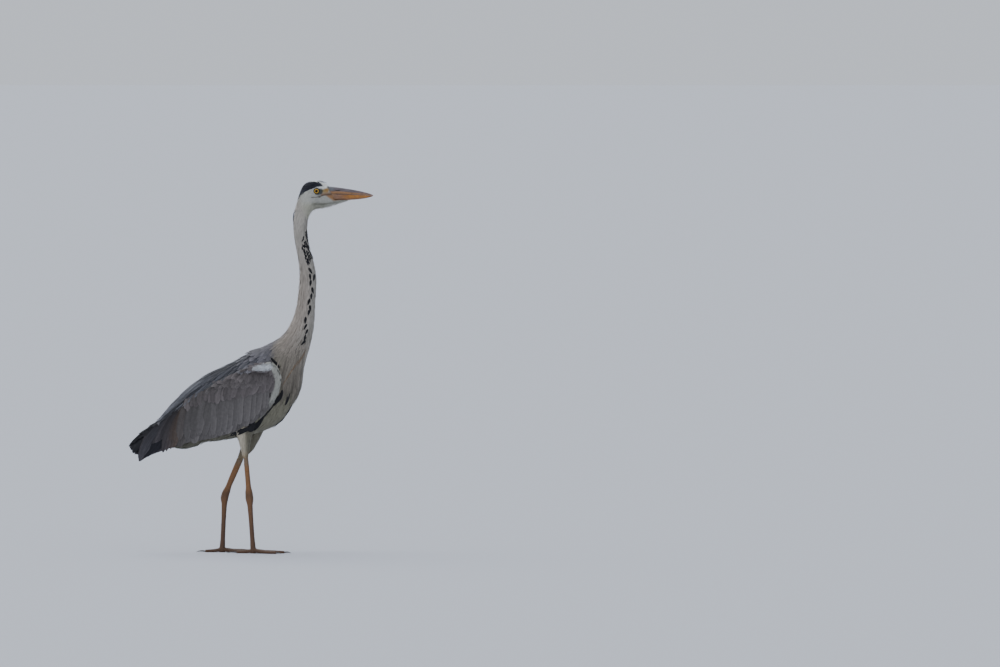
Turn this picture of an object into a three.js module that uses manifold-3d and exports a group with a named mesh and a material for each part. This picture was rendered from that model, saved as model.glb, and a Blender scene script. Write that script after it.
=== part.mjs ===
// A grey heron, life size, standing in a slow step with its neck held up.
//
// Millimetres, +Z up. The bird faces +X, its left side is +Y and its right side is -Y.
// The origin is on the floor, under the middle of the bird's length and width.
// The body is one lofted form, parted by thin cuts into head, neck lengths and trunk.
// Wings, tail, legs, feet, claws, bill and eyes are solids of their own.

import * as THREE from "three";
import { mergeVertices } from "three/addons/utils/BufferGeometryUtils.js";
import Module from "manifold-3d";

const wasm = await Module();
wasm.setup();

// ---------------------------------------------------------------- driving sizes

const GAP = 0.3; // between neighbouring solids
const SOCKET_GROWTH = 0.4; // how much a solid is grown before it is cut out of its neighbour
const CUT_REACH = 1400; // edge of a cutting block, longer than the bird
const FACET_TOLERANCE = 0.12; // slivers thinner than this are merged into their neighbours

const BILL_LENGTH = 118.4;
const BILL_ROOT_X = 211;
const BILL_SUNK = 8; // how far the bill runs back into the face
const BILL_TIP_Z = 965;

const EYE_RADIUS = 8.4;
const EYE_CENTRE = [176.3, 11.6, 977.4]; // of the left eye

const WING_PROUD = [3, 8, 11, 11, 11, 11]; // how far it stands out from the trunk, from the front
const WING_SHELL = 14; // thickness over the trunk, partly cut away by it
const WING_TIP_SHELL = 8; // thickness behind the trunk
const WING_SAG = 0.08; // how much lower on the side the wings are widest than the trunk is
const WING_HINGE = [60, 480]; // x and z of the shoulder, about which a wing is lifted
const LEFT_WING_LIFT = 2.6; // degrees that the left wing is held higher than the right
const WING_BLOCK = 120; // sideways length of the block that gives a wing its outline
const MIDLINE_GAP = 1; // how far that block stays from the middle of the bird
const WING_OPENING = 20; // how far the hollow of the wings runs past their edges

const ANKLE_Z = 154;
const FOOT_TOP_Z = 14;
const TOE_RADIUS = 4.4;
const CLAW_RADIUS = 2.6;

const V3 = (x, y, z) => new THREE.Vector3(x, y, z);
const radians = THREE.MathUtils.degToRad;

// ---------------------------------------------------------------- solids

/** A closed surface through rings of equal length, with a fan over each end. */
function skinRings(rings) {
  const sides = rings[0].length;
  const position = [];
  rings.forEach((ring) => ring.forEach((p) => position.push(p.x, p.y, p.z)));
  const index = [];
  for (let i = 0; i + 1 < rings.length; i++) {
    for (let j = 0; j < sides; j++) {
      const a = i * sides + j;
      const b = i * sides + ((j + 1) % sides);
      index.push(a, b, b + sides, a, b + sides, a + sides);
    }
  }
  [0, rings.length - 1].forEach((end) => {
    const middle = V3(0, 0, 0);
    rings[end].forEach((p) => middle.addScaledVector(p, 1 / sides));
    const hub = position.length / 3;
    position.push(middle.x, middle.y, middle.z);
    for (let j = 0; j < sides; j++) {
      const a = end * sides + j;
      const b = end * sides + ((j + 1) % sides);
      index.push(...(end === 0 ? [hub, b, a] : [hub, a, b]));
    }
  });
  const geometry = new THREE.BufferGeometry();
  geometry.setAttribute("position", new THREE.Float32BufferAttribute(position, 3));
  geometry.setIndex(index);
  return geometry;
}

/** Six times the enclosed volume, negative where the faces point inwards. */
function signedVolume(position, index) {
  const corner = (i) => V3(position[3 * i], position[3 * i + 1], position[3 * i + 2]);
  let sum = 0;
  for (let i = 0; i < index.length; i += 3) {
    sum += corner(index[i]).dot(corner(index[i + 1]).cross(corner(index[i + 2])));
  }
  return sum;
}

/** A three.js geometry as a manifold-3d solid, with its faces outwards. */
function solid(geometry) {
  const plain = geometry.clone();
  plain.deleteAttribute("normal");
  plain.deleteAttribute("uv");
  const merged = mergeVertices(plain, 1e-4);
  const vertProperties = merged.attributes.position.array;
  const triVerts = new Uint32Array(merged.index.array);
  if (signedVolume(vertProperties, triVerts) < 0) {
    for (let i = 0; i < triVerts.length; i += 3) {
      [triVerts[i + 1], triVerts[i + 2]] = [triVerts[i + 2], triVerts[i + 1]];
    }
  }
  return new wasm.Manifold(new wasm.Mesh({ numProp: 3, vertProperties, triVerts }));
}

/** The largest of the pieces that a cut has left. */
function largest(shape) {
  const pieces = shape.decompose();
  return pieces.reduce((best, piece) => (piece.volume() > best.volume() ? piece : best));
}

/** All of space on the side of `point` that `normal` points to. */
function beyond(point, normal) {
  const block = new THREE.BoxGeometry(CUT_REACH, CUT_REACH, CUT_REACH);
  block.translate(0, 0, CUT_REACH / 2);
  const along = normal.clone().normalize();
  block.applyQuaternion(new THREE.Quaternion().setFromUnitVectors(V3(0, 0, 1), along));
  block.translate(point.x, point.y, point.z);
  return solid(block);
}

/** The length of `whole` from one cut to the next, each of which takes half a gap from it. */
function lengthOf(whole, start, end) {
  let made = whole;
  if (start) {
    const along = start.normal.clone().normalize();
    made = made.intersect(beyond(start.point.clone().addScaledVector(along, GAP / 2), along));
  }
  if (end) {
    const along = end.normal.clone().normalize().negate();
    made = made.intersect(beyond(end.point.clone().addScaledVector(along, GAP / 2), along));
  }
  return made;
}

// ---------------------------------------------------------------- body form

/**
 * A form through stations, each
 *   [back x, back z, belly x, belly z, half width, share of the depth where it is widest].
 * `grow` moves the whole surface out and `widen` only its sides.
 * A `squareness` below 1 flattens the sides.
 */
function bodyLoft(stations, { rings, sides, grow = 0, widen = 0, squareness = 1 }) {
  const line = (x, z, extra) => {
    const points = stations.map((s) => V3(s[x], s[extra], s[z]));
    return new THREE.CatmullRomCurve3(points, false, "catmullrom", 0.5);
  };
  const backLine = line(0, 1, 4);
  const bellyLine = line(2, 3, 5);
  const made = [];
  for (let i = 0; i <= rings; i++) {
    const back = backLine.getPoint(i / rings);
    const belly = bellyLine.getPoint(i / rings);
    const halfWidth = back.y + grow + widen;
    const skew = Math.log(belly.y) / Math.log(0.5);
    const across = V3(belly.x - back.x, 0, belly.z - back.z);
    const depth = across.length();
    across.normalize();
    const ring = [];
    for (let j = 0; j < sides; j++) {
      const turn = (2 * Math.PI * j) / sides;
      const reach = Math.pow((1 - Math.cos(turn)) / 2, skew) * (depth + 2 * grow) - grow;
      const side = Math.sign(Math.sin(turn)) * Math.pow(Math.abs(Math.sin(turn)), squareness);
      ring.push(V3(back.x + across.x * reach, halfWidth * side, back.z + across.z * reach));
    }
    made.push(ring);
  }
  return solid(skinRings(made));
}

const HEAD_STATIONS = [
  [211, 991, 229, 941, 12.6, 0.5], // face, where the bill grows out
  [198, 999, 211, 935, 14, 0.5], // forehead and chin
  [171, 1005, 187, 931, 19, 0.5], // crown and eyes
  [146, 998, 170, 928, 20, 0.5], // cheeks
  [134, 979, 159, 918, 18, 0.5], // back of the head
  [126, 951, 154, 904, 15, 0.5], // nape
];
const NECK_STATIONS = [
  [115, 909, 152, 887, 14, 0.5], // slimmest stretch
  [114, 868, 151, 862, 13, 0.5],
  [120, 826, 157, 824, 13, 0.5],
  [128, 785, 169, 785, 15, 0.5], // the bend
  [131, 745, 176, 745, 17, 0.5],
  [128, 705, 175, 705, 18, 0.5],
  [121, 663, 173, 663, 20, 0.5],
  [108, 624, 171, 626, 23, 0.5],
];
const TRUNK_STATIONS = [
  [84, 588, 167, 594, 29, 0.48], // root of the neck
  [42, 563, 158, 551, 38, 0.46], // shoulders
  [4, 545, 142, 500, 46, 0.44],
  [-50, 515, 136, 450, 51, 0.44], // breast
  [-98, 493, 115, 402, 54, 0.44],
  [-143, 468, 72, 346, 54, 0.44], // belly
  [-182, 435, 0, 318, 50, 0.44],
  [-216, 401, -82, 304, 41, 0.46],
  [-235, 378, -126, 299, 33, 0.48],
  [-243, 368, -150, 287, 28, 0.48], // vent
  [-256, 354, -194, 281, 21, 0.5], // root of the tail
  [-264, 342, -230, 296, 12, 0.5],
];
const BODY_RINGS = 60;
const BODY_SIDES = 18;
const body = (grow) => {
  const stations = [...HEAD_STATIONS, ...NECK_STATIONS, ...TRUNK_STATIONS];
  return bodyLoft(stations, { rings: BODY_RINGS, sides: BODY_SIDES, grow });
};

// The chin's feathers run forward in a wedge under the bill.
const CHIN_STATIONS = [
  [188, 962, 188, 933, 12, 0.5],
  [222, 956, 226, 940, 9, 0.5],
  [252, 954.5, 254, 948, 5, 0.5],
  [268, 954.5, 269, 953, 1.5, 0.5],
];

// Cuts across the body, each with the direction that leads on towards the tail.
const NAPE_CUT = { point: V3(140, 0, 920), normal: V3(-0.5, 0, -1) };
const BEND_CUT = { point: V3(152, 0, 782), normal: V3(0, 0, -1) };
const MIDNECK_CUT = { point: V3(150, 0, 690), normal: V3(0, 0, -1) };
const BREAST_CUT = { point: V3(110, 0, 580), normal: V3(-0.12, 0, -1) };

// ---------------------------------------------------------------- bill

const gapeHeight = (t) => BILL_TIP_Z + 4.2 * (1 - t * t);
const upperDepth = (t) => 0.4 + 20 * Math.pow(1 - t, 0.62);
const lowerDepth = (t) => 0.4 + 16.2 * Math.pow(1 - Math.pow(t, 2.6), 0.75);
const billHalfWidth = (t) => 0.5 + 10.4 * Math.pow(1 - t, 0.8);

/** Half of the bill, above (`up` = 1) or below (`up` = -1) the line where it closes. */
function mandible(up, grow = 0) {
  const rings = 10;
  const arc = 8;
  const start = -BILL_SUNK - grow;
  const made = [];
  for (let i = 0; i <= rings; i++) {
    const reach = start + (i / rings) * (BILL_LENGTH - start);
    const t = Math.max(0, reach / BILL_LENGTH);
    const closing = gapeHeight(t) + up * (GAP / 2 - grow);
    const depth = (up > 0 ? upperDepth(t) : lowerDepth(t)) + 2 * grow;
    const half = billHalfWidth(t) + grow;
    const ring = [];
    for (let j = 0; j <= arc; j++) {
      const turn = (Math.PI * j) / arc;
      const rise = Math.pow(Math.sin(turn), 0.9) * depth;
      ring.push(V3(BILL_ROOT_X + reach, half * Math.cos(turn), closing + up * rise));
    }
    made.push(ring);
  }
  return solid(skinRings(made));
}

// ---------------------------------------------------------------- wings and tail

// Outer form of both folded wings together, from the shoulder to the tips of the quills.
const WING_STATIONS = [
  ...WING_PROUD.map((proud, i) => {
    const [backX, backZ, bellyX, bellyZ, half, widest] = TRUNK_STATIONS[i + 1];
    return [backX, backZ, bellyX, bellyZ, half + proud, widest + WING_SAG];
  }),
  [-214, 405, -84, 292, 54, 0.5],
  [-243, 372, -150, 264, 45, 0.5],
  [-272, 345, -205, 240, 37, 0.5],
  [-302, 322, -262, 222, 30, 0.5],
  [-330, 306, -316, 212, 26, 0.5],
];
const WING_RINGS = 28;
const WING_SIDES = 16;
const WING_SQUARENESS = 0.92;

// Side view of the right wing: upper edge from shoulder to tip, then lower edge back to the wrist.
const WING_UPPER_EDGE = [[57, 516], [8, 505], [-55, 482], [-115, 444], [-180, 404], [-250, 350]];
const WING_TIP_EDGE = [[-284, 320], [-300, 290], [-306, 262], [-301, 246]];
const WING_LOWER_EDGE = [
  [-272, 262], [-219, 281], [-165, 298], [-100, 309], [-43, 326],
  [-8, 342], [19, 360], [46, 393], [68, 426], [79, 463],
];
const WING_FRONT_EDGE = [[78, 482], [70, 501]];
const WING_MIDDLE = [-90, 385];
const WING_OUTLINE_STEPS = 3; // points between two given ones

function wingOutline(grow) {
  const point = ([x, z]) => new THREE.Vector2(x, z);
  const shape = new THREE.Shape();
  shape.moveTo(...WING_UPPER_EDGE[0]);
  shape.splineThru([...WING_UPPER_EDGE.slice(1), ...WING_TIP_EDGE].map(point));
  shape.splineThru([...WING_LOWER_EDGE, ...WING_FRONT_EDGE, WING_UPPER_EDGE[0]].map(point));
  const points = shape.getPoints(WING_OUTLINE_STEPS);
  points.pop();
  const middle = new THREE.Vector2(...WING_MIDDLE);
  return points.map((p, i) => {
    const before = points[(i + points.length - 1) % points.length];
    const after = points[(i + 1) % points.length];
    const outward = new THREE.Vector2(after.y - before.y, before.x - after.x).normalize();
    if (outward.dot(p.clone().sub(middle)) < 0) {
      outward.negate();
    }
    return p.clone().addScaledVector(outward, grow);
  });
}

/** A folded wing on the side `side` (+1 left, -1 right), before the trunk is cut out of it. */
function foldedWing(side, grow = 0) {
  const form = { rings: WING_RINGS, sides: WING_SIDES, squareness: WING_SQUARENESS };
  const outer = bodyLoft(WING_STATIONS, { ...form, widen: grow });
  const inner = bodyLoft(
    WING_STATIONS.map((s, i) => {
      const shell = i < WING_PROUD.length ? WING_SHELL : WING_TIP_SHELL;
      return [s[0], s[1] + WING_OPENING, s[2], s[3] - WING_OPENING, s[4] - shell, s[5]];
    }),
    { ...form, widen: -grow },
  );
  const prism = new THREE.ExtrudeGeometry(new THREE.Shape(wingOutline(grow)), {
    depth: WING_BLOCK,
    bevelEnabled: false,
  });
  prism.rotateX(Math.PI / 2);
  prism.translate(0, side > 0 ? WING_BLOCK + MIDLINE_GAP : -MIDLINE_GAP, 0);
  const [hingeX, hingeZ] = WING_HINGE;
  prism.translate(-hingeX, 0, -hingeZ);
  prism.rotateY(radians(side > 0 ? LEFT_WING_LIFT : 0));
  prism.translate(hingeX, 0, hingeZ);
  return outer.intersect(solid(prism)).subtract(inner);
}

// [middle x, middle z, half width, droop of the sides, thickness]
const TAIL_STATIONS = [
  [-238, 370, 14, 12, 12],
  [-262, 350, 19, 16, 10],
  [-292, 330, 20, 19, 7],
  [-316, 309, 17, 17, 4.5],
  [-329, 291, 9, 8, 2.5],
];

const TAIL_EDGE_THINNING = 0.6; // share of the thickness lost from the middle to the sides
const TAIL_SLANT = 0.5; // how far the underside lies behind the top, as a share of the thickness

/** The closed tail: a plate arched across, thinning to its tip. */
function tailPlate() {
  const half = 3;
  const centre = new THREE.CatmullRomCurve3(TAIL_STATIONS.map((s) => V3(s[0], 0, s[1])));
  const shape = new THREE.CatmullRomCurve3(TAIL_STATIONS.map((s) => V3(s[2], s[3], s[4])));
  const rings = 8;
  const made = [];
  for (let i = 0; i <= rings; i++) {
    const middle = centre.getPoint(i / rings);
    const size = shape.getPoint(i / rings);
    const top = [];
    const bottom = [];
    for (let j = -half; j <= half; j++) {
      const share = j / half;
      const sink = size.y * share * share;
      const thin = size.z * (1 - TAIL_EDGE_THINNING * Math.abs(share));
      top.push(V3(middle.x, size.x * share, middle.z - sink));
      bottom.push(V3(middle.x - thin * TAIL_SLANT, size.x * share, middle.z - sink - thin));
    }
    made.push([...top, ...bottom.reverse()]);
  }
  return solid(skinRings(made));
}

// ---------------------------------------------------------------- legs

/** An upright limb through levels, each [x, y, z, half depth, half width]. */
function limb(levels, sides, rings) {
  const path = new THREE.CatmullRomCurve3(levels.map((l) => V3(l[0], l[1], l[2])));
  const size = new THREE.CatmullRomCurve3(levels.map((l) => V3(l[3], l[4], 0)));
  const made = [];
  for (let i = 0; i <= rings; i++) {
    const middle = path.getPoint(i / rings);
    const half = size.getPoint(i / rings);
    const ring = [];
    for (let j = 0; j < sides; j++) {
      const turn = (2 * Math.PI * j) / sides;
      const x = middle.x + half.x * Math.cos(turn);
      ring.push(V3(x, middle.y + half.y * Math.sin(turn), middle.z));
    }
    made.push(ring);
  }
  return solid(skinRings(made));
}

// The right leg carries the weight and the left one trails behind it.
const LEGS = {
  right: {
    side: -1,
    thigh: [
      [-14, 30, 372, 34, 14], [-16.5, 31, 338, 26, 17], [-18.5, 32, 312, 20, 17],
      [-17, 33, 290, 14.4, 13], [-16, 33, 270, 10.6, 9.8], [-14.3, 33, 250, 7.6, 6.8],
    ],
    feathersEnd: 256,
    shinDepths: [5.4, 6.3, 6.4, 7],
    kneeward: [-14, 33, 256],
    ankle: [-5, 34, ANKLE_Z],
    foot: [6, 35],
    heading: -2,
  },
  left: {
    side: 1,
    thigh: [
      [2, 30, 372, 46, 14], [2, 31, 338, 36, 17], [-4, 32, 312, 29.5, 17],
      [-8.5, 33, 290, 22, 14], [-17.5, 33, 270, 17, 11], [-29, 33, 256, 11, 8.4], [-35, 33, 242, 8.8, 7],
    ],
    feathersEnd: 246,
    shinDepths: [7.6, 8.2, 8, 7.3],
    kneeward: [-29.5, 33, 256],
    ankle: [-73, 34, ANKLE_Z],
    foot: [-80, 35],
    heading: 3,
  },
};

// [name, degrees from straight ahead towards the outside, length without claw, claw length]
const TOES = [
  ["inner", -24, 66, 17],
  ["middle", 3, 84, 18],
  ["outer", 31, 74, 16],
  ["hind", 184, 46, 24],
];

/** A level of a limb at height `z` on the line between two points, given its half sizes. */
function levelBetween(high, low, z, depth, width) {
  const share = (high[2] - z) / (high[2] - low[2]);
  const mix = (i) => high[i] + share * (low[i] - high[i]);
  return [mix(0), mix(1), z, depth, width];
}

const cutAt = (z) => ({ point: V3(0, 0, z), normal: V3(0, 0, -1) });

function legParts({ side, shinDepths, kneeward, ankle, foot }) {
  const place = (l) => [l[0], side * l[1], l[2], l[3], l[4]];
  const toFoot = [foot[0], foot[1], 0];
  // The levels are level cuts, so a slanting shin is deeper in them than across itself.
  const slant = Math.hypot(1, (kneeward[0] - ankle[0]) / (kneeward[2] - ankle[2]));
  const upper = (z, depth, width) => levelBetween(kneeward, ankle, z, depth * slant, width);
  const lower = (z, depth, width) => levelBetween(ankle, toFoot, z, depth, width);
  const levels = [
    upper(262, shinDepths[0], 4.6),
    upper(240, shinDepths[1], 5.2),
    upper(205, shinDepths[2], 5.2),
    upper(180, shinDepths[3], 5.7),
    upper(163, 9.8, 7.6),
    lower(148, 10.6, 8.2),
    lower(130, 7.2, 6.2),
    lower(90, 5.9, 5),
    lower(40, 5.9, 5),
    lower(20, 7, 6),
    lower(6, 7.4, 6.4),
  ];
  const whole = limb(levels.map(place), 10, 30);
  return {
    shin: lengthOf(whole, null, cutAt(ANKLE_Z)),
    tarsus: lengthOf(whole, cutAt(ANKLE_Z), cutAt(FOOT_TOP_Z)),
  };
}

/** A tapering bar along `points` with the given radii, with flattened undersides left to a cut. */
function bar(points, radii, sides, rings) {
  const path = new THREE.CatmullRomCurve3(points);
  const radius = new THREE.CatmullRomCurve3(radii.map((r) => V3(r, 0, 0)));
  const made = [];
  for (let i = 0; i <= rings; i++) {
    const middle = path.getPoint(i / rings);
    const along = path.getTangent(i / rings);
    const across = V3(-along.y, along.x, 0).normalize();
    const up = along.clone().cross(across).negate();
    const r = radius.getPoint(i / rings).x;
    const ring = [];
    for (let j = 0; j < sides; j++) {
      const turn = (2 * Math.PI * (j + 0.5)) / sides;
      const point = middle.clone().addScaledVector(across, r * Math.cos(turn));
      ring.push(point.addScaledVector(up, r * Math.sin(turn)));
    }
    made.push(ring);
  }
  return solid(skinRings(made));
}

/** Foot and claws of one leg, standing on the floor. */
function footParts({ side, foot, heading }) {
  const root = V3(foot[0], side * foot[1], 0);
  const aboveFloor = beyond(V3(0, 0, 0), V3(0, 0, 1));
  let whole = limb(
    [[root.x, root.y, FOOT_TOP_Z + 2, 7, 6], [root.x, root.y, 8, 8.5, 7.5], [root.x, root.y, -1, 7, 6]],
    10,
    6,
  );
  const claws = [];
  TOES.forEach(([name, degrees, length, claw]) => {
    const angle = radians(heading + side * degrees);
    const ahead = V3(Math.cos(angle), Math.sin(angle), 0);
    const at = (reach, z) => V3(root.x + ahead.x * reach, root.y + ahead.y * reach, z);
    const toe = bar(
      [at(0, 8), at(length * 0.3, 5), at(length * 0.62, 3.6), at(length * 0.85, 3.4), at(length + 1, 3)],
      [6, TOE_RADIUS, 4.1, 3.7, 3],
      8,
      7,
    );
    const tip = { point: at(length, 0), normal: ahead };
    whole = whole.add(lengthOf(toe, null, tip));
    const nail = bar(
      [at(length - 1, 3), at(length + claw * 0.45, 3.9), at(length + claw * 0.8, 2.9), at(length + claw, 0.9)],
      [CLAW_RADIUS, 2.2, 1.3, 0.4],
      6,
      4,
    );
    claws.push([name, lengthOf(nail, tip, null).intersect(aboveFloor)]);
  });
  return { foot: lengthOf(whole.intersect(aboveFloor), cutAt(FOOT_TOP_Z), null), claws };
}

// ---------------------------------------------------------------- assembly

const finish = (color, roughness) => () =>
  new THREE.MeshStandardMaterial({ color, roughness, metalness: 0 });
const MATERIALS = {
  paleFeathers: finish("#b9b5ad", 0.9),
  greyFeathers: finish("#74757a", 0.85),
  darkFeathers: finish("#3a3b40", 0.8),
  bill: finish("#a97b4a", 0.45),
  eye: finish("#d9a92c", 0.1),
  legSkin: finish("#8a5c3a", 0.6),
  claw: finish("#2b2622", 0.4),
};

const heron = new THREE.Group();
heron.name = "grey_heron";

function addNode(name, shape, material) {
  const mesh = shape.simplify(FACET_TOLERANCE).getMesh();
  const position = new Float32Array(mesh.numVert * 3);
  for (let i = 0; i < mesh.numVert; i++) {
    const first = i * mesh.numProp;
    position.set(mesh.vertProperties.subarray(first, first + 3), 3 * i);
  }
  const geometry = new THREE.BufferGeometry();
  geometry.setAttribute("position", new THREE.BufferAttribute(position, 3));
  geometry.setIndex(new THREE.BufferAttribute(new Uint32Array(mesh.triVerts), 1));
  geometry.computeVertexNormals();
  const node = new THREE.Mesh(geometry, MATERIALS[material]());
  node.name = name;
  heron.add(node);
}

const wholeBody = body(0);
const bodySocket = body(SOCKET_GROWTH);
const billSocket = mandible(1, SOCKET_GROWTH).add(mandible(-1, SOCKET_GROWTH));

function eyeball(side, radius) {
  const ball = new THREE.SphereGeometry(radius, 12, 7);
  ball.rotateX(Math.PI / 2);
  ball.translate(EYE_CENTRE[0], side * EYE_CENTRE[1], EYE_CENTRE[2]);
  return solid(ball);
}

const chin = bodyLoft(CHIN_STATIONS, { rings: 6, sides: 10 });
const head = lengthOf(wholeBody, null, NAPE_CUT)
  .add(chin)
  .subtract(billSocket)
  .subtract(eyeball(1, EYE_RADIUS + SOCKET_GROWTH))
  .subtract(eyeball(-1, EYE_RADIUS + SOCKET_GROWTH));
addNode("head", largest(head), "paleFeathers");
addNode("bill_upper", mandible(1), "bill");
addNode("bill_lower", mandible(-1), "bill");
addNode("eye_left", eyeball(1, EYE_RADIUS), "eye");
addNode("eye_right", eyeball(-1, EYE_RADIUS), "eye");
addNode("neck_upper", lengthOf(wholeBody, NAPE_CUT, BEND_CUT), "paleFeathers");
addNode("neck_middle", lengthOf(wholeBody, BEND_CUT, MIDNECK_CUT), "paleFeathers");
addNode("neck_lower", lengthOf(wholeBody, MIDNECK_CUT, BREAST_CUT), "paleFeathers");
addNode("trunk", lengthOf(wholeBody, BREAST_CUT, null), "greyFeathers");

const wingSockets = { left: foldedWing(1, SOCKET_GROWTH), right: foldedWing(-1, SOCKET_GROWTH) };
const tail = tailPlate()
  .subtract(bodySocket)
  .subtract(wingSockets.left)
  .subtract(wingSockets.right);
addNode("tail", largest(tail), "darkFeathers");

Object.entries(LEGS).forEach(([sideName, leg]) => {
  const wing = foldedWing(leg.side).subtract(bodySocket);
  addNode(`wing_${sideName}`, largest(wing), "greyFeathers");
  const thigh = limb(leg.thigh.map((l) => [l[0], leg.side * l[1], l[2], l[3], l[4]]), 12, 10);
  const { shin, tarsus } = legParts(leg);
  const feathered = lengthOf(thigh, null, cutAt(leg.feathersEnd))
    .subtract(bodySocket)
    .subtract(wingSockets[sideName]);
  addNode(`thigh_${sideName}`, largest(feathered), "paleFeathers");
  addNode(`shin_${sideName}`, lengthOf(shin, cutAt(leg.feathersEnd), null), "legSkin");
  addNode(`tarsus_${sideName}`, tarsus, "legSkin");
  const { foot, claws } = footParts(leg);
  addNode(`foot_${sideName}`, foot, "legSkin");
  claws.forEach(([toe, claw]) => addNode(`claw_${sideName}_${toe}`, claw, "claw"));
});

const box = new THREE.Box3().setFromObject(heron);
const middle = box.getCenter(V3(0, 0, 0));
heron.children.forEach((node) => node.geometry.translate(-middle.x, -middle.y, -box.min.z));

export default heron;
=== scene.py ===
"""A grey heron, life size, feathered over the frame of named solids.

Lengths are in millimetres in the heron's own frame until a mesh is made: +X the way it
faces, +Y its left, +Z up. The left side is +1 and the right side is -1.
"""

import itertools
import math

import bmesh
import bpy
import numpy as np
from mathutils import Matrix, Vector
from mathutils.bvhtree import BVHTree


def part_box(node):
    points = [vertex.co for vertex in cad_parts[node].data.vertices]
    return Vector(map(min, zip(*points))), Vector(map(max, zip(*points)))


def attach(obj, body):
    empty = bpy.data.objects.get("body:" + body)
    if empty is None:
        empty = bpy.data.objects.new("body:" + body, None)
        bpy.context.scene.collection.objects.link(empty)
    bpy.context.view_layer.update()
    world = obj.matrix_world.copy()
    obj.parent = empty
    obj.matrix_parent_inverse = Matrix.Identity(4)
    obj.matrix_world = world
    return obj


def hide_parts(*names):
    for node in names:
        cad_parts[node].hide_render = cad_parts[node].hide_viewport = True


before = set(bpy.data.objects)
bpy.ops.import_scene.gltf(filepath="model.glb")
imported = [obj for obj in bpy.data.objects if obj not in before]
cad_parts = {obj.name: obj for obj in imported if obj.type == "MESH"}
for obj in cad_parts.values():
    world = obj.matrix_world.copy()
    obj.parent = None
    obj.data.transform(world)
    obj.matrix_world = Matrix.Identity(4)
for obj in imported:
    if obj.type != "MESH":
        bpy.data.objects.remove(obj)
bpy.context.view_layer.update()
LEFT, RIGHT = 1, -1
SIDES = {"left": LEFT, "right": RIGHT}
chance = np.random.default_rng(7)

# ------------------------------------------------------------------ the heron's own frame

EYE = np.array([176.3, 11.6, 977.4])  # centre of the left eyeball
EYE_RADIUS = 8.4


def frame_offset():
    """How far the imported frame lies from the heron's own frame, read at the right eye."""
    low, high = (np.array(corner) * 1000 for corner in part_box("eye_right"))
    return (low + high) / 2 - EYE * (1, -1, 1)


OFFSET = frame_offset()


def metres(points):
    """Points of the heron's own frame as scene points."""
    return (np.asarray(points, float) + OFFSET) / 1000


def own(points):
    """Scene points as points of the heron's own frame."""
    return np.asarray(points, float) * 1000 - OFFSET


# ------------------------------------------------------------------ colour


def linear(hex_colour):
    """An sRGB hex value as linear red, green and blue."""
    channels = [int(hex_colour[i : i + 2], 16) / 255 for i in (1, 3, 5)]
    return np.array([c / 12.92 if c <= 0.04045 else ((c + 0.055) / 1.055) ** 2.4 for c in channels])


def smooth(value, start, end):
    """0 before start, 1 after end, and a smooth ramp between them."""
    share = np.clip((np.asarray(value, float) - start) / (end - start), 0, 1)
    return share * share * (3 - 2 * share)


def mixed(first, second, share):
    """Colours from first to second, one for each share."""
    share = np.asarray(share, float)[..., None]
    return np.asarray(first) * (1 - share) + np.asarray(second) * share


def repeated(hue, count):
    """One hue, for each of `count` points or vanes."""
    return np.tile(hue, (count, 1))


def inside(x, z, outline, soft):
    """1 within a side-view outline and 0 outside it, with an edge `soft` wide."""
    corners = np.array(outline, float)
    after = np.roll(corners, -1, axis=0)
    point = np.stack([x, z], axis=-1)[..., None, :]
    along = after - corners
    share = ((point - corners) * along).sum(-1) / (along**2).sum(-1)
    near = corners + np.clip(share, 0, 1)[..., None] * along
    distance = np.sqrt(((point - near) ** 2).sum(-1)).min(-1)
    px, pz = point[..., 0], point[..., 1]
    crosses = (corners[:, 1] > pz) != (after[:, 1] > pz)
    rise = np.where(along[:, 1] == 0, 1e-9, along[:, 1])
    left_of = px < corners[:, 0] + (pz - corners[:, 1]) * along[:, 0] / rise
    within = (crosses & left_of).sum(-1) % 2 == 1
    return smooth(np.where(within, distance, -distance), -soft / 2, soft / 2)


# ------------------------------------------------------------------ small mesh tools


def mesh_piece(name, vertices, faces):
    """A smooth-shaded mesh object from points in the heron's own frame."""
    mesh = bpy.data.meshes.new(name)
    mesh.from_pydata(metres(vertices).tolist(), [], faces)
    mesh.update()
    shade_smooth(mesh)
    piece = bpy.data.objects.new(name, mesh)
    bpy.context.scene.collection.objects.link(piece)
    return piece


def shade_smooth(mesh):
    """Shades every face of a mesh smooth."""
    mesh.polygons.foreach_set("use_smooth", [True] * len(mesh.polygons))


def move_vertices(mesh, points):
    """Puts a mesh's vertices at points of the heron's own frame."""
    mesh.vertices.foreach_set("co", metres(points).ravel())
    mesh.update()


def applied(piece):
    """A new mesh of a piece with its modifiers applied."""
    return bpy.data.meshes.new_from_object(piece.evaluated_get(bpy.context.evaluated_depsgraph_get()))


def paint(piece, colours):
    """Writes one linear colour for each vertex."""
    layer = piece.data.color_attributes.new("Tint", "FLOAT_COLOR", "POINT")
    full = np.ones((len(piece.data.vertices), 4))
    full[:, :3] = colours
    layer.data.foreach_set("color", full.ravel())


def corner_map(piece, name, at_vertices):
    """A UV map that gives every corner its vertex's value."""
    layer = piece.data.uv_layers.new(name=name)
    corners = np.empty(len(piece.data.loops), int)
    piece.data.loops.foreach_get("vertex_index", corners)
    layer.data.foreach_set("uv", np.asarray(at_vertices)[corners].ravel())


def settle(piece, material, replaces=()):
    """Gives a finished piece its material and its place on the frame."""
    piece.data.materials.clear()
    piece.data.materials.append(material)
    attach(piece, "root")
    if replaces:
        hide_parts(*replaces)


def grid_faces(rings, sides):
    """Faces over rings of equal length that close on themselves, with both ends capped."""
    faces = []
    for i in range(rings - 1):
        for j in range(sides):
            a, b = i * sides + j, i * sides + (j + 1) % sides
            faces.append((a, b, b + sides, a + sides))
    faces.append(tuple(reversed(range(sides))))
    faces.append(tuple(range((rings - 1) * sides, rings * sides)))
    return faces


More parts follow.
